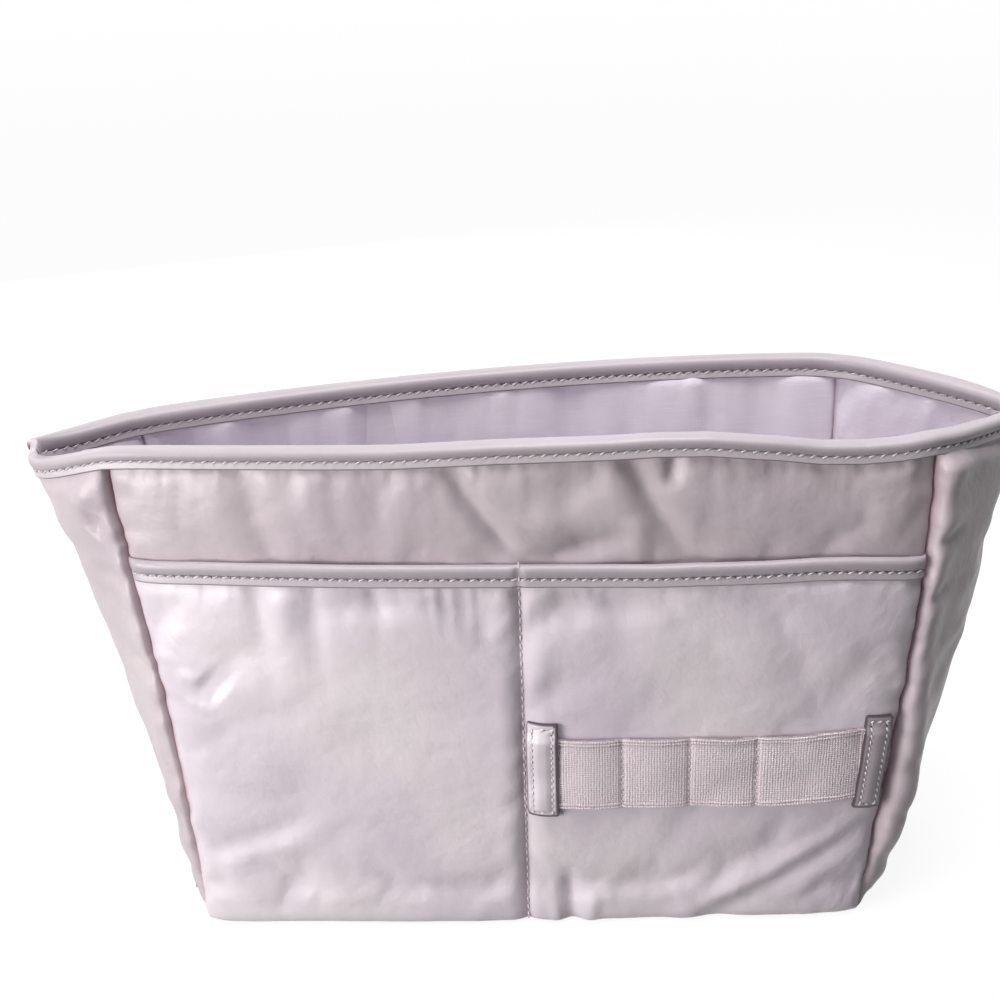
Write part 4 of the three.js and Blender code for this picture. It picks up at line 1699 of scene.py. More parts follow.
@dataclass
class MainWall:
    """A front or back wall: padded satin outside, lining inside."""

    loop: WallLoop
    palette: Palette
    wall: Wall
    folds: tuple[Fold, ...] = ()
    lining_folds: tuple[Fold, ...] = ()
    covered_below: float = 0.0
    seed: int = 11
    settled: Array = field(kw_only=True)
    swells: Forms = (Swell(0.55, (46.0, 60.0)), Swell(0.22, (15.0, 24.0), 1))
    rim_gathers: Forms = (Gathers(0.42, 7.0, 7.0, 2), Gathers(0.32, 3.6, 3.2, 9))
    seam_gathers: Forms = (Gathers(0.4, 7.0, 6.0, 6),)
    lining_swells: Forms = (Swell(2.1, (15.0, 110.0), 20), Swell(0.9, (7.0, 50.0), 21))
    lining_gathers: Forms = (Gathers(0.3, 7.0, 9.0, 22),)
    seam_edge: float = 2.6
    seam_hollow: float = 1.0
    hollow_reach: float = 8.0
    lip_press: float = 0.35
    press_reach: float = 3.0
    covered_share: float = 0.3
    covered_band: tuple[float, float] = (-12.0, -2.0)
    room_band: tuple[float, float] = (-10.0, 0.0)
    pocket_room: float = 1.5
    pocket_seam: float = 0.6
    fill: float = 0.3

    def __post_init__(self) -> None:
        """Finds the wall's grid."""
        columns = self.loop.columns(self.wall)
        self.settled = self.settled[columns]
        self.points, self.normals = self.loop.middle[columns], self.loop.normal[columns]
        _, self.from_seam = seam_distance(self.points)
        self.below_lip = self.points[:, -1:, 2] - LAYERS.lip - self.points[..., 2]
        self.shade = seam_line(self.from_seam)

    def relief(self) -> Array:
        """How far the outer cloth stands out of the middle of the wall."""
        x, z, covered = self.points[..., 0], self.points[..., 2], self.covered_below
        lift = lifted(self.swells, x, z, self.seed) + fold_relief(self.folds, x, z)
        lift *= mix(self.covered_share, 1.0, ease(*self.covered_band, z - covered))
        lift += self.settled
        lift += lifted(self.rim_gathers, x, self.below_lip, self.seed) * (self.below_lip > UNDER_LIP)
        lift += lifted(self.seam_gathers, z, self.from_seam, self.seed)
        lift *= clear_of_lip(self.below_lip)
        lift -= self.lip_press * np.exp(-np.maximum(self.below_lip, 0) / self.press_reach)
        seam = LAYERS.seam
        full = LAYERS.face + lift - self.seam_hollow * np.exp(-self.from_seam / self.hollow_reach)
        if covered:
            seam = seam - self.pocket_seam * (z < covered)
            full -= self.pocket_room * (1 - ease(*self.room_band, z - covered))
        return mix(seam, full, pillow(self.from_seam, self.seam_edge))

    def build(self, hinge: Hinge, tuck: bool) -> None:
        """Makes the wall's cloth and lining.

        Args:
            hinge: where the wall leans.
            tuck: whether the cloth goes on under the base.
        """
        body = self.wall.name.lower()
        outer = self.points + self.normals * self.relief()[..., None]
        back = self.points + self.normals * LAYERS.back
        under = tucked(outer, self.normals, self.from_seam, TUCK) if tuck else None
        skins = padded_cloth(outer, self.shade, back, under)
        cloth = padded_piece(f"{body}_wall_cloth", skins, body, self.palette.satin)
        hinge.bend(cloth)
        skins = lining_skins(self.points, self.normals, self._lining(), self.shade)
        lining = lining_piece(f"{body}_wall_lining", skins, body, self.points, self.palette.lining)
        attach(lining, body)

    def _lining(self) -> Array:
        """How far the lining stands into the insert, with the soft upright folds that a loose lining has."""
        x, z = self.points[..., 0], self.points[..., 2]
        loose = lifted(self.lining_swells, x, z, self.seed) + fold_relief(self.lining_folds, x, z)
        loose += lifted(self.lining_gathers, x, self.below_lip, self.seed)
        return lining_sag(loose, self.from_seam, self.below_lip)


@dataclass
class FoldedEnd:
    """A folded end: padded satin outside and lining inside, in two arms that meet at the crease."""

    loop: WallLoop
    palette: Palette
    end: End
    front_folds: tuple[Fold, ...] = ()
    bulge: Table = ((0.0, 0.0),)
    bulge_edge: float = 12.0
    seam_roll: Roll = Roll(1.0, 8.0, 6.0)
    roll_forward: float = 2.6
    roll_crest: float = 2.0
    roll_fade: float = 9.0
    roll_low: float = 1.0
    roll_foot: float = 0.5
    low_band: tuple[float, float] = (60.0, 130.0)
    foot_band: tuple[float, float] = (6.0, 40.0)
    slim_band: tuple[float, float] = (-1.0, 9.0)
    crease_band: tuple[float, float] = (4.0, 14.0)
    lip_reach: float = 4.0
    roll_lip_reach: float = 6.0
    seam_edge: float = 3.4
    seam_shade: float = 0.6
    seed: int = 31
    settled: Array = field(kw_only=True)
    swells: Forms = (Swell(0.5, (26.0, 40.0)), Swell(0.15, (12.0, 15.0), 1))
    seam_gathers: Forms = (Gathers(0.8, 14.0, 10.0, 2), Gathers(0.4, 6.5, 3.5, 4))
    rim_gathers: Forms = (Gathers(0.4, 8.0, 8.0, 8),)
    lining_swells: Forms = (Swell(2.0, (11.0, 34.0), 20), Swell(0.8, (5.0, 14.0), 21))
    lining_gathers: Forms = (Gathers(0.3, 8.0, 9.0, 22),)
    fill: float = 0.45

    def __post_init__(self) -> None:
        """Finds the end's grid, drawn in where the end is hollow."""
        columns = self.loop.columns(Wall[self.end.name])
        right = self.end is End.RIGHT
        self.settled = self.settled[columns]
        self.points, self.normals = self.loop.middle[columns].copy(), self.loop.normal[columns]
        self.place, self.from_seam = seam_distance(self.points)
        self.from_crease = self.place[-1:] / 2 - self.from_seam
        self.swelling = read_off(self.bulge, self.points[..., 2]) * ease(0, self.bulge_edge, self.from_seam)
        self.points[..., 0] += np.minimum(self.swelling, 0) * (1 if right else -1)
        self.below_lip = self.points[:, -1:, 2] - LAYERS.lip - self.points[..., 2]
        column, middle = np.arange(len(columns))[:, None], len(columns) // 2
        self.front = column <= middle if right else column >= middle
        self.slim = 1 - SLIM_TIP * near_tip(self.from_crease) * (1 - ease(*self.slim_band, self.below_lip))
        # painted seam shade, weaker on the folded ends
        self.shade = self.seam_shade * seam_line(self.from_seam)

    def _outer(self) -> Array:
        """Points of the outer cloth, with its swells, gathers and folds and the roll beside each seam."""
        z, away, seed = self.points[..., 2], self.from_seam, self.seed
        lift = np.maximum(self.swelling, 0) + self.settled
        lift += self.seam_roll.relief(away)
        lift += lifted(self.swells, self.place, z, seed) + lifted(self.seam_gathers, z, away, seed)
        lift += lifted(self.rim_gathers, self.place, self.below_lip, seed) * (self.below_lip > UNDER_LIP)
        lift += np.where(self.front, fold_relief(self.front_folds, away, z), 0)
        lift *= clear_of_lip(self.below_lip, self.lip_reach)
        relief = mix(LAYERS.seam, LAYERS.face + lift, pillow(away, self.seam_edge))
        outer = self.points + self.normals * (np.maximum(relief, LAYERS.seam) * self.slim)[..., None]
        roll = self.roll_forward * (1 - np.exp(-away / self.roll_crest)) * np.exp(-away / self.roll_fade)
        fullness = mix(self.roll_low, 1.0, ease(*self.low_band, z))
        roll *= clear_of_lip(self.below_lip, self.roll_lip_reach)
        roll *= mix(self.roll_foot, fullness, ease(*self.foot_band, z))
        outer[..., 1] += np.where(self.front, -roll, roll)
        return outer

    def _inside(self) -> tuple[Skin, Skin]:
        """Skins of the lining, flat along the crease and slim at the tip."""
        loose = lifted(self.lining_swells, self.place, self.points[..., 2], self.seed)
        loose += lifted(self.lining_gathers, self.place, self.below_lip, self.seed)
        sag = lining_sag(loose, self.from_seam, self.below_lip)
        sag = sag * ease(*self.crease_band, self.from_crease)
        sag = LAYERS.lining - self.slim * (LAYERS.lining - sag)
        return lining_skins(self.points, self.normals, sag, self.shade)

    def build(self, arms: dict[tuple[Wall, End], ArmBlend]) -> None:
        """Makes both arms.

        Args:
            arms: where each arm would follow its wall.
        """
        name = f"{self.end.value}_gusset"
        outer = self._outer()
        back = self.points + self.normals * LAYERS.back
        under = tucked(outer, self.normals, self.from_seam, TUCK)
        skins = padded_cloth(outer, self.shade, back, under)
        inside = self._inside()
        for (wall, end), arm in arms.items():
            if end is not self.end:
                continue
            part = arm_part(len(outer), wall, end)
            side = f"{name}_{wall.name.lower()}"
            parts = [face.part(part) for face in skins]
            cloth = padded_piece(f"{side}_cloth", parts, name, self.palette.satin)
            arm.bend(cloth)
            parts = [face.part(part) for face in inside]
            grid, finish = self.points[part], self.palette.lining
            arm.bend(lining_piece(f"{side}_lining", parts, name, grid, finish))


# Slip pocket and what is sewn on it


@dataclass
class SlipPocket:
    """A satin panel sewn at its sides, down its middle and under the base, with a bound mouth."""

    loop: WallLoop
    palette: Palette
    stitches: StitchTree
    top: float = 148.0
    gape: float = 1.8
    stand_off: tuple[float, float] = (1.5, 2.6)
    thickness: float = 0.8
    divider: float = -1.0
    divider_ends: tuple[float, float] = (141.7, 4.0)
    divider_shade: float = 0.6
    shade_reach: float = 0.6
    shade_shift: float = 0.4
    mouth: TapeSection = TapeSection(0.75, 1.75, 2.2, -5.9, -3.0, 2.0, 1.35, 1.35, 0.45)
    mouth_stitch: Stitch = Stitch(3.46, 0.62, 0.34)
    divider_stitch: Stitch = Stitch(3.4, 0.62, 0.12)
    folds: tuple[Fold, ...] = ()
    seed: int = 51
    rows: int = 104
    mouth_wave: Table = (
        (-132, -0.6), (-112, 0.1), (-76, 0.8), (-41, 0.7), (-8, 1.1),
        (26, 0.9), (60, 1.4), (94, -0.7), (128, -2.1), (135, -2.4),
    )
    mouth_level: float = 0.76
    mouth_hold: float = 0.75
    mouth_band: tuple[float, float] = (0.93, 0.985)
    seam_rise: float = 0.5
    swells: Forms = (Swell(1.0, (48.0, 56.0)), Swell(0.3, (17.0, 22.0), 1))
    mouth_gathers: Forms = (Gathers(0.35, 8.0, 8.0, 2), Gathers(0.28, 3.6, 3.6, 4))
    seam_gathers: Forms = (Gathers(0.55, 11.0, 9.0, 6), Gathers(0.25, 4.0, 3.0, 8))
    divider_gathers: Forms = (Gathers(0.25, 9.0, 5.0, 10),)
    foot_gathers: Forms = (Gathers(0.4, 13.0, 14.0, 14),)
    foot_roll: Roll = Roll(1.1, 7.0, 9.0)
    divider_groove: float = 1.7
    groove_reach: float = 2.2
    divider_roll: Roll = Roll(0.45, 6.5, 4.0)
    seam_hollow: float = 2.7
    hollow_reach: float = 9.0
    seam_edge: float = 3.8
    tuck: float = 8.0
    tape_swell: Swell = Swell(0.06, (22.0, 1.0), 9)
    dimple_depth: float = 0.1
    dimple_reach: float = 1.2
    divider_pinch: float = 0.45
    flat_end: float = 0.3
    settled: Array = field(kw_only=True)

    def lift(self, t: Array, share: Array) -> Array:
        """How far the panel's outer face lies off the middle of the front wall, before its folds."""
        gape = self.gape * np.sin(2 * np.pi * t) ** 2 * share**1.5
        return LAYERS.face + mix(*self.stand_off, share) + gape

    @property
    def mouth_row(self) -> int:
        """Row of the walls' grid at about the height of the mouth."""
        return int(self.mouth_level * self.loop.ROWS)

    def shape(self) -> None:
        """Works out the outer face of the panel."""
        loop, columns = self.loop, self.loop.columns(Wall.FRONT)
        tall = np.linalg.norm(loop.middle[columns, -1] - loop.middle[columns, 0], axis=-1)
        wave = read_off(self.mouth_wave, loop.middle[columns, self.mouth_row, 0])
        self.edge = ((self.top + wave - loop.form.foot) / tall)[:, None]
        share = np.linspace(0, 1, self.rows)[None, :]
        points, normals = loop.at(columns, self.edge * share)
        t = np.linspace(0, 1, len(columns))[:, None]
        x, z, seed = points[..., 0], points[..., 2], self.seed
        _, from_seam = seam_distance(points)
        from_divider = np.abs(x - self.divider)
        below = self.top + self.mouth.foot - z
        lift = lifted(self.swells, x, z, seed) + fold_relief(self.folds, x, z)
        lift += loop.sample(self.settled, columns, self.edge * share)
        lift += self.foot_roll.relief(z)
        lift += lifted(self.mouth_gathers, x, below, seed) * ease(UNDER_LIP, 1.0, below)
        lift += lifted(self.seam_gathers, z, from_seam, seed) + lifted(self.foot_gathers, x, z, seed)
        lift += lifted(self.divider_gathers, z, from_divider, seed)
        lift -= self.divider_groove * np.exp(-((from_divider / self.groove_reach) ** 1.4))
        lift += self.divider_roll.relief(from_divider)
        lift = np.where(share > 0.99, 0, lift) * (1 - self.mouth_hold * ease(*self.mouth_band, share))
        lift -= self.seam_hollow * np.exp(-from_seam / self.hollow_reach)
        seam = LAYERS.seam + self.seam_rise
        relief = mix(seam, self.lift(t, share) + lift, pillow(from_seam, self.seam_edge))
        self.grid = points + normals * relief[..., None]
        self.normals = grid_normals(self.grid)
        self.wall_normals = normals
        # painted shade beside the divider's stitch row, joined with the painted seam shade
        beside = np.abs(x - self.divider + self.shade_shift)
        self.seam = np.maximum(seam_line(from_seam), self.divider_shade * np.exp(-beside / self.shade_reach))

    def over(self, x: Array, z: Array) -> tuple[Array, Array]:
        """Points and directions on the panel's outer face.

        Args:
            x: places along the wall.
            z: heights.

        Returns:
            The points and the directions out of the cloth.
        """
        form = self.loop.form
        v = (z - form.foot) / (form.top - form.foot)
        left, right = (form.main_wall(Wall.FRONT, np.full_like(v, t), v)[..., 0] for t in (0.0, 1.0))
        last = self.grid.shape[0] - 1
        columns = np.clip((x - left) / (right - left), 0, 1) * last
        edge = np.interp(columns, np.arange(len(self.edge)), self.edge[:, 0])
        rows = np.clip(v / edge, 0, 1) * (self.rows - 1)
        j = np.minimum(rows.astype(int), self.rows - 2)
        g = (rows - j)[..., None]
        pitch = (right - left) / last

        def between(values: Array, columns: Array) -> Array:
            """Values between the points of the grid."""
            i = np.minimum(columns.astype(int), last - 1)
            f = (columns - i)[..., None]
            low = mix(values[i, j], values[i + 1, j], f)
            return mix(low, mix(values[i, j + 1], values[i + 1, j + 1], f), g)

        for _ in range(6):
            columns = np.clip(columns + (x - between(self.grid, columns)[..., 0]) / pitch, 0, last)
        return between(self.grid, columns), unit(between(self.normals, columns))

    def build(self, hinge: Hinge) -> None:
        """Makes the panel, its bound mouth and its stitches.

        Args:
            hinge: where the front wall leans.
        """
        self.shape()
        _, from_seam = seam_distance(self.grid)
        under = tucked(self.grid, self.wall_normals, from_seam, self.tuck)
        whole = np.concatenate([under, self.grid], axis=1)
        shade = np.concatenate([np.repeat(self.seam[:, :1], under.shape[1], axis=1), self.seam], axis=1)
        outer = skin(whole, shade)
        behind = whole - outer.normals * self.thickness
        behind[..., 2] = np.maximum(behind[..., 2], FLOOR_CLEARANCE)
        inner = skin(behind, shade, inward=True)
        panel = slab("pocket_panel", outer, inner, self.palette.pocket_satin)
        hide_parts("front_pocket")
        flat, area = cut_size(whole)
        hinge.bend(panel)
        self._mouth()
        self._divider(hinge)

    def _mouth(self) -> None:
        """The bound mouth with its row of stitches."""
        out = self.wall_normals[:, -1]
        path = self.grid[:, -1] - out * self.thickness / 2
        up = unit(self.loop.up[self.loop.columns(Wall.FRONT), self.mouth_row])
        outline = self.mouth.outline()
        shown = outline[None, :, 0] > 0
        place, from_end = seam_distance(path[:, None])
        swell = 1 + self.tape_swell.relief(place, 0 * place, 0)
        depth = self.dimple_depth * shown
        swell = swell * self.mouth.dimples(place, self.mouth_stitch.pitch, depth, self.dimple_reach)
        swell *= 1 - self.divider_pinch * bell(path[:, :1] - self.divider, 1.5) * shown
        swell *= mix(self.flat_end, 1.0, ease(0.0, 7.0, from_end))
        heights = np.broadcast_to(outline[None, :, 1], swell.shape)
        loops, normals = swept_tape(path, out, up, outline, swell, heights)
        tape = tube("pocket_mouth_tape", loops, normals, outline[:, 2], self.palette.pocket_leatherette)
        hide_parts("pocket_binding")
        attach(tape, "front")
        groove, inside = self.mouth.grooves()[0], slice(4, -4)
        row = SewnLine(loops[inside, groove], normals[inside, groove])
        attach(self.stitches.sew("pocket_mouth_stitches", [row], self.mouth_stitch), "front")
        self.mouth_loops, self.mouth_normals = loops, normals

    def _divider(self, hinge: Hinge) -> None:
        """The row of stitches that divides the pocket, over the mouth and down to the base."""
        foot, over = self.loop.form.foot, list(range(6, 19))
        z = np.linspace(*self.divider_ends, 120)
        points, facing = self.over(np.full_like(z, self.divider), np.maximum(z, foot))
        points[:, 2] = np.where(z < foot, z, points[:, 2])
        column = int(np.argmin(np.abs(self.grid[:, -1, 0] - self.divider)))
        top = SewnLine(self.mouth_loops[column, over][::-1], self.mouth_normals[column, over][::-1])
        row = SewnLine(points, facing)
        hinge.bend(self.stitches.sew("divider_stitches", [top, row], self.divider_stitch))


@dataclass
class ElasticLoops:
    """Woven elastic sewn down into loops on the right pocket, with a box-stitched tab over each end."""

    pocket: SlipPocket
    palette: Palette
    stitches: StitchTree
    width: float = 28.6
    middle: float = 67.8
    thickness: float = 1.1
    rise: float = 1.3
    usual_loop: float = 26.0
    lines: tuple[float, ...] = (34.0, 58.0, 82.0)
    tab_width: float = 11.1
    tab_height: float = 38.3
    tab_middle: float = 69.4
    tab_thickness: float = 1.3
    left_tab: float = 5.85
    right_tab: float = 123.3
    right_tilt: float = 0.075
    right_width: float = 9.8
    end_rise: float = 1.8
    rise_band: tuple[float, float] = (84.0, 120.0)
    tucked_ends: tuple[float, float] = (4.0, 3.2)
    cords: tuple[float, float] = (0.965, 0.878)
    cord_width: float = 0.028
    grooves: tuple[float, float] = (0.922, 0.835)
    groove_width: float = 0.018
    wander: Swell = Swell(0.4, (28.0, 1.0), 71)
    weave: Swell = Swell(0.05, (0.9, 0.7), 73)
    tab_grain: Swell = Swell(0.2, (5.0, 9.0), 3)
    tab_corner: float = 0.9
    tab_inset: float = 2.1
    tab_gap: float = 0.3
    tab_step: float = 1.1
    tab_crown: float = 0.4
    crown_band: tuple[float, float] = (2.2, 4.5)
    tab_groove: float = 0.3
    tab_rounding: float = 0.22
    tab_back: tuple[float, float] = (0.2, 0.9)
    lit_edge: tuple[float, float] = (0.2, 0.6)
    lee_edge_and_shadow: tuple[float, float] = (0.7, 1.25)
    line_stitch: Stitch = Stitch(2.4, 0.45, 0.35)
    tab_stitch: Stitch = Stitch(2.5, 0.66, 0.3)
    cord_height: float = 0.34
    groove_depth: float = 0.2
    pinch_depth: float = 0.35
    pinch_share: float = 0.012
    gap: float = 0.25
    band_columns: int = 420
    band_rows: int = 97

    def rise_at(self, x: Array) -> Array:
        """Height of the band over the pocket along its loops."""
        half = self.tab_width / 2
        stops = np.array([self.left_tab + half, *self.lines, self.right_tab - half])
        k = np.clip(np.searchsorted(stops, x) - 1, 0, len(stops) - 2)
        share = np.clip((x - stops[k]) / (stops[k + 1] - stops[k]), 0, 1)
        arch = np.sin(np.pi * share) ** 0.8
        return self.rise * arch * (stops[k + 1] - stops[k]) / self.usual_loop

    def build(self) -> None:
        """Makes the band, the tabs and their stitches."""
        self._band()
        self._tab("left", self.left_tab, self.tab_width, 0.0, self.palette.left_tab)
        self._tab("right", self.right_tab, self.right_width, self.right_tilt, self.palette.right_tab)

    def _band(self) -> None:
        """The woven band: ribs and rows as relief, corded edges, pinched at the stitch lines."""
        left, right = self.left_tab - self.tucked_ends[0], self.right_tab + self.tucked_ends[1]
        x = np.linspace(left, right, self.band_columns)[:, None]
        s = np.linspace(-1, 1, self.band_rows)[None, :]
        edge = np.abs(s)
        pinch = bell(np.min(np.abs(x - np.array(self.lines)[None, :]), axis=1, keepdims=True), 1.0)
        narrow = 1 - self.pinch_share * pinch
        z = self.middle + s * narrow * self.width / 2 + self.wander.relief(x, s * 0, 0)
        z = z + self.end_rise * ease(*self.rise_band, x)
        x, z = np.broadcast_arrays(x, z)
        base, facing = self.pocket.over(x, z)
        cord = sum(bell(edge - place, self.cord_width) for place in self.cords)
        outer_groove, inner_groove = (bell(edge - place, self.groove_width) for place in self.grooves)
        groove = outer_groove + 0.6 * inner_groove
        relief = self.weave.relief(x, z, 0) * (edge < 0.85)
        relief = relief + self.cord_height * cord - self.groove_depth * groove
        out = self.gap + self.rise_at(x) * (0.9 + 0.1 * s) + self.thickness + relief
        out = out - self.pinch_depth * pinch
        top = base + facing * out[..., None]
        low = base + facing * (out - relief - self.thickness)[..., None]
        # painted shade in the grooves inside the corded edges and at the pinches of the stitch lines
        shade = 0.9 * groove + 0.5 * pinch * (edge < 0.9) + 0 * x
        outer, inner = skin(top, np.clip(shade, 0, 1)), skin(low, inward=True)
        outer.flat = np.stack([x, z - self.middle], axis=-1)
        band = slab("elastic_loops", outer, inner, self.palette.elastic)
        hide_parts("elastic_band")
        (length, _), _ = cut_size(top)
        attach(band, "front")
        rows = []
        for line in self.lines:
            i = int(np.argmin(np.abs(x[:, 0] - line)))
            rows.append(SewnLine(top[i, 8:-8], facing[i, 8:-8]))
        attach(self.stitches.sew("elastic_stitches", rows, self.line_stitch), "front")

    def _tab(self, side: str, centre: float, width: float, tilt: float, finish: Material) -> None:
        """One leatherette tab with a box of stitches and dark painted edges, the border widened by painted
        shadow on its lee side.

        Args:
            side: which end of the band it covers.
            centre: place of its middle along the wall.
            width: its width.
            tilt: turn off the upright, in radians.
            finish: its leatherette.
        """
        name = f"{side}_tab"
        corner, across, tall, columns, rows = self.tab_corner, width / 2, self.tab_height / 2, 32, 112
        a = np.linspace(-1, 1, columns + 1)[:, None] * across
        b = np.linspace(-1, 1, rows + 1)[None, :] * tall
        a, b = np.broadcast_arrays(a, b)
        p = np.clip((np.abs(a) - across + corner) / corner, 0, 1)
        q = np.clip((np.abs(b) - tall + corner) / corner, 0, 1)
        a = np.sign(a) * (np.minimum(np.abs(a), across - corner) + corner * p * np.sqrt(1 - q * q / 2))
        b = np.sign(b) * (np.minimum(np.abs(b), tall - corner) + corner * q * np.sqrt(1 - p * p / 2))
        x = centre + a * math.cos(tilt) + b * math.sin(tilt)
        z = self.tab_middle - a * math.sin(tilt) + b * math.cos(tilt)
        base, facing = self.pocket.over(x, z)
        facing = unit(facing.mean(axis=(0, 1), keepdims=True) + 0.15 * facing)
        over_band = 1 - ease(self.width / 2 - 0.5, self.width / 2 + 3.0, np.abs(z - self.middle))
        from_edge = np.minimum(across - np.abs(a), tall - np.abs(b))
        sewn = bell(from_edge - self.tab_inset, 0.45)
        crown = self.tab_crown * ease(*self.crown_band, from_edge) + self.tab_grain.relief(a, b, 0)
        out = self.tab_gap + self.tab_step * over_band + self.tab_thickness + crown
        out = out - self.tab_groove * sewn - self.tab_rounding * (1 - ease(0, 0.5, from_edge))
        top = base + facing * out[..., None]
        low = base + facing * (self.tab_back[0] + self.tab_back[1] * over_band)[..., None]
        # painted shadow: the dark border is widened on the right and bottom, the lee side
        lee = np.minimum(across - a, tall + b) < 1.5
        shade = 1 - np.where(lee, ease(*self.lee_edge_and_shadow, from_edge), ease(*self.lit_edge, from_edge))
        tab = slab(name, skin(top, shade), skin(low, np.ones_like(shade), inward=True), finish)
        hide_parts(f"elastic_tab_{side}")
        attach(tab, "front")
        corners = ((-1, -1), (-1, 1), (1, 1), (1, -1), (-1, -1))
        s = np.linspace(0.02, 0.98, 60)
        box = []
        for (a0, b0), (a1, b1) in zip(corners, corners[1:]):
            along_a = mix(a0, a1, s) * (across - self.tab_inset) / across
            along_b = mix(b0, b1, s) * (tall - self.tab_inset) / tall
            i = np.clip(np.round((along_a + 1) * columns / 2).astype(int), 0, columns)
            j = (along_b + 1) * rows / 2
            low_j = np.minimum(j.astype(int), rows - 1)
            line = mix(top[i, low_j], top[i, low_j + 1], (j - low_j)[:, None])
            box.append(SewnLine(line, facing[i, low_j]))
        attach(self.stitches.sew(f"{name}_stitches", box, self.tab_stitch), "front")


# Base


@dataclass
class BasePan:
    """Base: satin bottom with a rolled edge, the board that stiffens it and a lining over the board."""

    palette: Palette
    roll: float = 5.2
    thickness: float = 0.8
    bottom: float = 0.25
    edge: float = 0.9
    corner: float = 5.0
    middle_corner: float = 4.0
    squareness: float = 0.12
    around: int = 240

    def outline(self, inset: float, corner: float) -> Array:
        """Rounded rectangle of the base drawn in by an inset, as a closed ring."""
        low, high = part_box("base_shell")
        half = np.array([(high.x - low.x) / 2, (high.y - low.y) / 2]) / MM - inset - corner
        angle = np.linspace(0, 2 * np.pi, self.around, endpoint=False)
        turn = np.stack([np.cos(angle), np.sin(angle)], axis=-1)
        power = np.sign(turn) * np.abs(turn) ** self.squareness
        return np.clip(power, -1, 1) * half + turn * corner

    def pan(self, name: str, rings: list[tuple[float, float]], finish: Material) -> Piece:
        """A closed form through rings round the base, each an inset and a height, with flat middles.

        Args:
            name: name of the piece.
            rings: inset and height of each ring, from the middle of one face to the middle of the other.
            finish: finish of the piece.

        Returns:
            The piece.
        """
        shrink = (0.02, 0.35, 0.7)

        def ring(edge: Array, height: float) -> Array:
            """An outline at one height."""
            return np.column_stack([edge, np.full(len(edge), height)])

        corner = self.middle_corner
        ends = (rings[0], rings[-1])
        first, last = ([ring(self.outline(i, corner) * s, h) for s in shrink] for i, h in ends)
        body = [ring(self.outline(i, max(self.corner - i, 1.0)), h) for i, h in rings]
        grid = np.stack(first + body + last[::-1])
        grid = np.concatenate([grid, grid[:, :1]], axis=1)
        normals = unit(np.cross(np.gradient(grid, axis=1), np.gradient(grid, axis=0)))
        rows, around = grid.shape[0], grid.shape[1] - 1
        index = np.arange(rows * around).reshape(rows, around)
        ahead = np.roll(index, -1, axis=1)
        cap = ladder(around)
        faces = quads(index[:-1], ahead[:-1], ahead[1:], index[1:])
        faces = np.concatenate([faces, cap[:, ::-1], cap + (rows - 1) * around])
        points = grid[:, :-1].reshape(-1, 3)
        corner_normals = normals[:, :-1].reshape(-1, 3)[faces]
        return mesh_piece(name, points, faces, corner_normals, points[:, :2], np.zeros(len(points)), finish)

    def build(self) -> None:
        """Makes the bottom cloth and the lining, and dresses the board between them."""
        turns = np.linspace(0, np.pi / 2, 9)
        low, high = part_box("base_shell")
        shell_right = high.x
        out, inner, bottom, edge = self.roll, self.roll - self.thickness, self.bottom, self.edge
        rings = [(edge + out * (1 - math.sin(a)), bottom + out * (1 - math.cos(a))) for a in turns]
        rings += [(edge + out - inner * math.sin(a), bottom + out - inner * math.cos(a)) for a in turns[::-1]]
        cloth = self.pan("base_cloth", rings, self.palette.satin)
        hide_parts("base_shell")
        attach(cloth, "base")
        low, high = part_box("base_lining")
        inset = (shell_right - high.x) / MM
        bottom, top = low.z / MM, high.z / MM
        rings = [(inset + 0.4, bottom), (inset, bottom + 0.2), (inset, top - 0.2)]
        rings += [(inset + 0.5, top + 0.05), (inset + 6, top + 0.25)]
        lining = self.pan("base_pad_lining", rings, self.palette.lining)
        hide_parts("base_lining")
        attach(lining, "base")
        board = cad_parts["base_board"]
        board.data.materials.clear()
        board.data.materials.append(self.palette.board)


# Studio


WHITE = (1.0, 1.0, 1.0, 1.0)


@dataclass(frozen=True)
class Lamp:
    """A square soft light that looks at the middle of the insert, and may be left out of mirrored light."""

    name: str
    place: Spot
    size: float
    power: float
    tint: Spot = (1.0, 1.0, 1.0)
    shines: bool = True
    target: Spot = (0.0, 0.0, 0.1)

    def build(self) -> None:
        """Hangs the light."""
        data = bpy.data.lights.new(self.name, "AREA")
        data.size, data.energy, data.color = self.size, self.power, self.tint
        light = bpy.data.objects.new(self.name, data)
        light.location = self.place
        light.visible_glossy = self.shines
        light.rotation_euler = (Vector(self.target) - Vector(self.place)).to_track_quat("-Z", "Y").to_euler()
        bpy.context.scene.collection.objects.link(light)


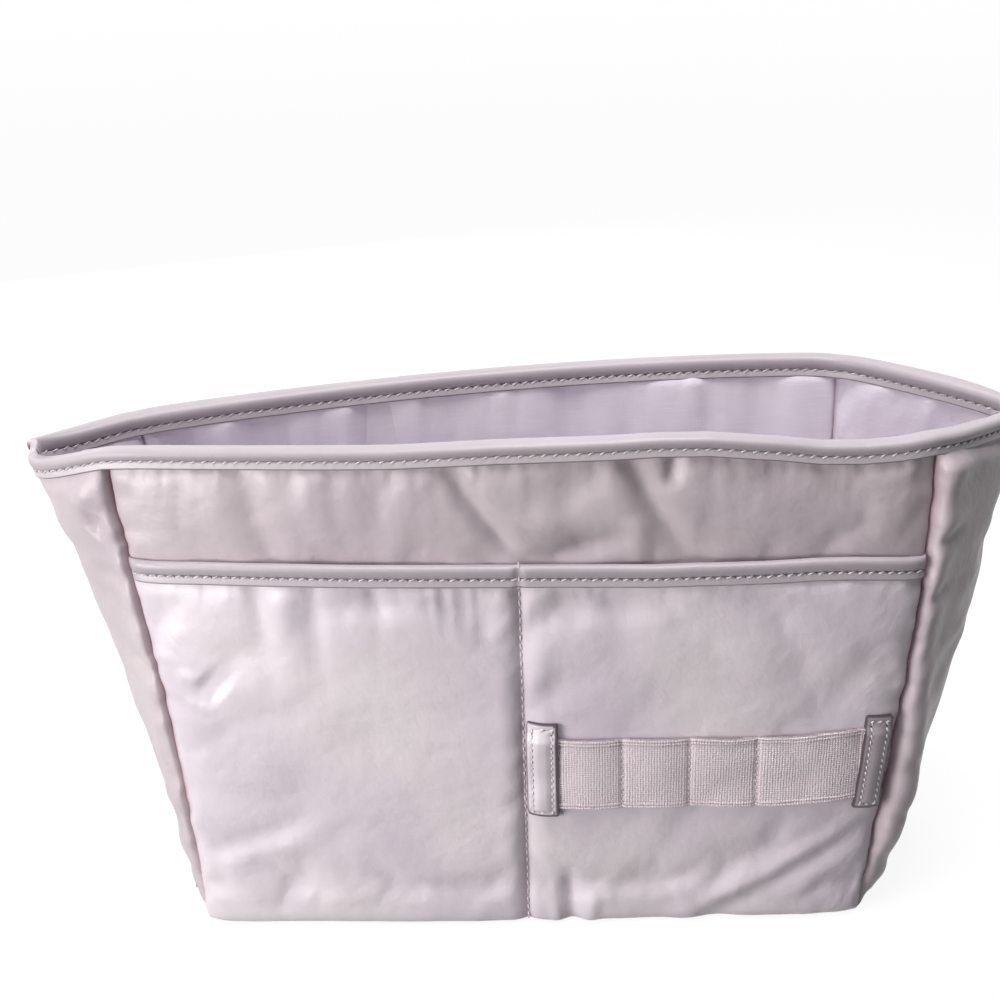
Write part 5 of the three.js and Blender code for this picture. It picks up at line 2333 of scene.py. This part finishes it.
@dataclass(frozen=True)
class Studio:
    """Camera, soft light from the left and a plain pale floor."""

    place: Spot = (0.0065, -0.4706, 0.3367)
    pitch: float = 21.35
    yaw: float = 1.78
    roll: float = -1.97
    focal: float = 1349.4
    image: float = 1000.0
    floor_reach: float = 30.0
    floor_grey: float = 0.14
    floor_white: float = 0.9
    sky: float = 0.025
    sky_tint: tuple[float, ...] = (0.95, 0.97, 1.0, 1.0)
    lamps: tuple[Lamp, ...] = (
        Lamp("window", (-0.95, -0.6, 0.28), 0.5, 8.2, (1.0, 0.985, 0.97)),
        Lamp("skylight", (-0.25, -0.42, 1.3), 0.7, 5.8, (0.99, 0.99, 1.0)),
        Lamp("card", (-0.6, -0.62, 0.0), 0.45, 3.4),
        Lamp("back_window", (-0.5, 1.1, 0.45), 0.7, 9.0, shines=False),
        Lamp("over", (0.1, -0.1, 0.9), 0.35, 3.7),
    )

    def camera(self) -> None:
        """Sets the camera at the photograph's viewing angle."""
        data = bpy.data.cameras.new("camera")
        data.sensor_width = 36.0
        data.lens = self.focal / self.image * data.sensor_width
        pitch, yaw, roll = (math.radians(a) for a in (self.pitch, self.yaw, self.roll))
        right = Vector((math.cos(yaw), math.sin(yaw), 0))
        level = Vector((-math.sin(yaw), math.cos(yaw), 0))
        ahead = level * math.cos(pitch) - Vector((0, 0, math.sin(pitch)))
        up = level * math.sin(pitch) + Vector((0, 0, math.cos(pitch)))
        across = right * math.cos(roll) + up * math.sin(roll)
        upright = up * math.cos(roll) - right * math.sin(roll)
        camera = bpy.data.objects.new("camera", data)
        turn = Matrix((across, upright, -ahead)).transposed().to_4x4()
        camera.matrix_world = Matrix.Translation(self.place) @ turn
        bpy.context.scene.collection.objects.link(camera)
        bpy.context.scene.camera = camera

    def floor(self) -> None:
        """A wide floor that looks white where no shadow falls."""
        mesh = bpy.data.meshes.new("floor")
        reach = self.floor_reach
        corners = [(-reach, -reach, 0), (reach, -reach, 0), (reach, reach, 0), (-reach, reach, 0)]
        mesh.from_pydata(corners, [], [(0, 1, 2, 3)])
        floor = bpy.data.objects.new("floor", mesh)
        bpy.context.scene.collection.objects.link(floor)
        made = Shader("floor")
        glow = made.math("MULTIPLY", made.seen(), self.floor_white)
        grey = (self.floor_grey,) * 3 + (1.0,)
        made.dress(Base_Color=grey, Roughness=0.9, Emission_Color=WHITE, Emission_Strength=glow)
        mesh.materials.append(made.material)

    def world(self) -> None:
        """Soft light from all round, and a white background."""
        world = bpy.data.worlds.new("studio")
        world.use_nodes = True
        nodes = Nodes(world.node_tree)
        light, output = (nodes.tree.nodes[name] for name in ("Background", "World Output"))
        nodes.feed(light.inputs["Color"], self.sky_tint)
        nodes.feed(light.inputs["Strength"], self.sky)
        white = nodes.node("ShaderNodeBackground", {"Color": WHITE}).outputs[0]
        join = nodes.node("ShaderNodeMixShader", {0: nodes.seen(), 1: light.outputs[0], 2: white})
        nodes.feed(output.inputs[0], join.outputs[0])
        bpy.context.scene.world = world

    def build(self) -> None:
        """Sets up the whole studio."""
        self.camera()
        for lamp in self.lamps:
            lamp.build()
        self.floor()
        self.world()
        bpy.context.scene.view_settings.view_transform = "Standard"


# Folds as they lie on the insert


DENT, RIDGE, LEE = FoldKind
FRONT_FOLDS = (
    Fold((-22, 182), (-2, 154), 3.8, 3.3, DENT, 1.5),
    Fold((-14, 182), (2, 162), 5.0, 0.5, RIDGE, 1.5),
    Fold((37, 188), (58, 150), 5.0, 3.9, DENT, 2.5),
    Fold((38, 164), (42, 150), 5.0, 1.0, RIDGE),
    Fold((52, 188), (50, 177), 3.0, 2.2),
    Fold((4, 151), (33, 158), 4.0, 1.9),
    Fold((-2, 162), (22, 166), 6.0, 0.8, RIDGE),
    Fold((-96, 186), (-85, 150), 5.5, 1.6),
    Fold((-108, 182), (-101, 152), 6.0, 0.8, RIDGE),
    Fold((-70, 184), (-66, 152), 6.0, 0.8, RIDGE),
    Fold((-52, 184), (-46, 158), 6.0, 0.7),
    Fold((84, 180), (104, 156), 8.0, 0.9),
    Fold((110, 178), (124, 158), 6.0, 0.6, RIDGE),
)
POCKET_FOLDS = (
    Fold((-92, 148), (-89, 104), 4.8, 2.0, DENT, 0.0, 0.2),
    Fold((-82, 146), (-81, 112), 4.0, 0.6, RIDGE, 0.0, 0.1),
    Fold((-72, 148), (-71, 108), 4.4, 1.6, DENT, 0.0, 0.2),
    Fold((-50, 146), (-49, 118), 3.6, 0.8, DENT, 0.0, 0.1),
    Fold((-30, 146), (-29, 124), 1.6, 0.5, RIDGE, 0.0, 0.1),
    Fold((-24, 146), (-23, 122), 1.8, 0.6, RIDGE, 0.0, 0.1),
    Fold((-17.5, 146), (-17, 124), 1.6, 0.5, RIDGE, 0.0, 0.1),
    Fold((-113, 106), (-107, 101), 6.0, 1.5),
    Fold((-106, 110), (-93, 120), 7.0, 1.2),
    Fold((-123, 106), (-116, 105), 2.6, 0.7, RIDGE),
    Fold((-121, 96), (-113, 93), 2.2, 0.6, RIDGE),
    Fold((-120, 30), (-80, 46), 6.0, 1.1, LEE, 2.0),
    Fold((-119, 32), (-115, 17), 4.0, 0.9),
    Fold((-95, 8), (-83, 28), 5.0, 0.7),
    Fold((-116, 92), (-96, 64), 14.0, 0.8, RIDGE),
    Fold((34, 146), (34, 104), 6.0, 0.7, DENT, 0.0, 0.1),
    Fold((23, 146), (23, 116), 4.5, 0.5, RIDGE, 0.0, 0.1),
    Fold((16, 0), (15, 24), 3.0, 1.3),
    Fold((22, 0), (24, 16), 3.2, 1.0, RIDGE),
    Fold((10, 0), (9, 20), 2.8, 0.9, RIDGE),
    Fold((127, 48), (58, 2), 5.0, 1.6, LEE, -2.0),
    Fold((122, 114), (108, 94), 6.0, 0.9),
)
BACK_LINING_FOLDS = (
    Fold((-70, 190), (-66, 120), 7.0, 1.0, RIDGE),
    Fold((-40, 190), (-38, 110), 8.0, 0.9),
    Fold((60, 190), (62, 120), 9.0, 0.8, RIDGE),
)
LEFT_BULGE = (
    (0, 5.4), (12, 4.0), (20, 3.4), (50, 2.6), (80, 1.0), (110, -2.4),
    (140, -3.8), (147, -3.8), (156, -1.4), (166, -0.1), (176, -0.1), (186, 0.0),
)
RIGHT_BULGE = (
    (0, 4.0), (18, 6.2), (40, 6.4), (60, 5.6), (80, 3.2),
    (100, 1.6), (120, -0.2), (140, -1.8), (160, -1.0), (180, 0.0),
)
LEFT_ARM_FOLDS = (
    Fold((8, 163), (13, 156), 3.6, 2.8),
    Fold((9, 172), (16, 165), 4.0, 1.4, RIDGE),
    Fold((2, 104), (16, 106), 2.6, 1.2),
    Fold((2, 60), (14, 66), 3.0, 0.8),
)
RIGHT_ARM_FOLDS = (
    Fold((2, 152), (14, 155), 3.4, 1.2),
    Fold((2, 130), (14, 134), 3.6, 1.0),
    Fold((2, 108), (16, 111), 3.6, 0.9),
    Fold((2, 90), (20, 94), 4.0, 0.9),
    Fold((2, 66), (20, 68), 4.0, 0.8),
    Fold((2, 44), (16, 47), 3.6, 0.8),
)


def main() -> None:
    """Builds the insert piece by piece, then the studio round it."""
    logging.basicConfig(level=logging.INFO, format="%(name)s: %(message)s")
    Studio().build()
    palette = Palette()
    loop = WallLoop(WallForm())
    stitches = StitchTree(palette)
    depth = loop.form.half_depth
    front_hinge, back_hinge = Hinge("front", -depth), Hinge("back", depth)
    mouth_seam = SlipPocket.top + SlipPocket.mouth.stitch
    settled = SettledCloth(loop, mouth_seam, SlipPocket.divider).relief()
    arms = {(wall, end): arm_blend(loop, wall, end) for wall in (Wall.FRONT, Wall.BACK) for end in End}
    front = MainWall(loop, palette, Wall.FRONT, FRONT_FOLDS, covered_below=146.0, settled=settled)
    front.build(front_hinge, tuck=False)
    back = MainWall(loop, palette, Wall.BACK, lining_folds=BACK_LINING_FOLDS, seed=17, settled=settled)
    back.build(back_hinge, tuck=True)
    FoldedEnd(loop, palette, End.LEFT, LEFT_ARM_FOLDS, LEFT_BULGE, settled=settled).build(arms)
    FoldedEnd(
        loop, palette, End.RIGHT, RIGHT_ARM_FOLDS, RIGHT_BULGE,
        roll_forward=9.4, roll_crest=4.2, roll_fade=15.0, roll_low=1.6, seed=37, settled=settled,
    ).build(arms)
    pocket = SlipPocket(loop, palette, stitches, folds=POCKET_FOLDS, settled=settled)
    pocket.build(front_hinge)
    ElasticLoops(pocket, palette, stitches).build()
    RimBinding(loop, palette, stitches).build(arms)
    BasePan(palette).build()
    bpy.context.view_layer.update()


if __name__ == "__main__":
    main()
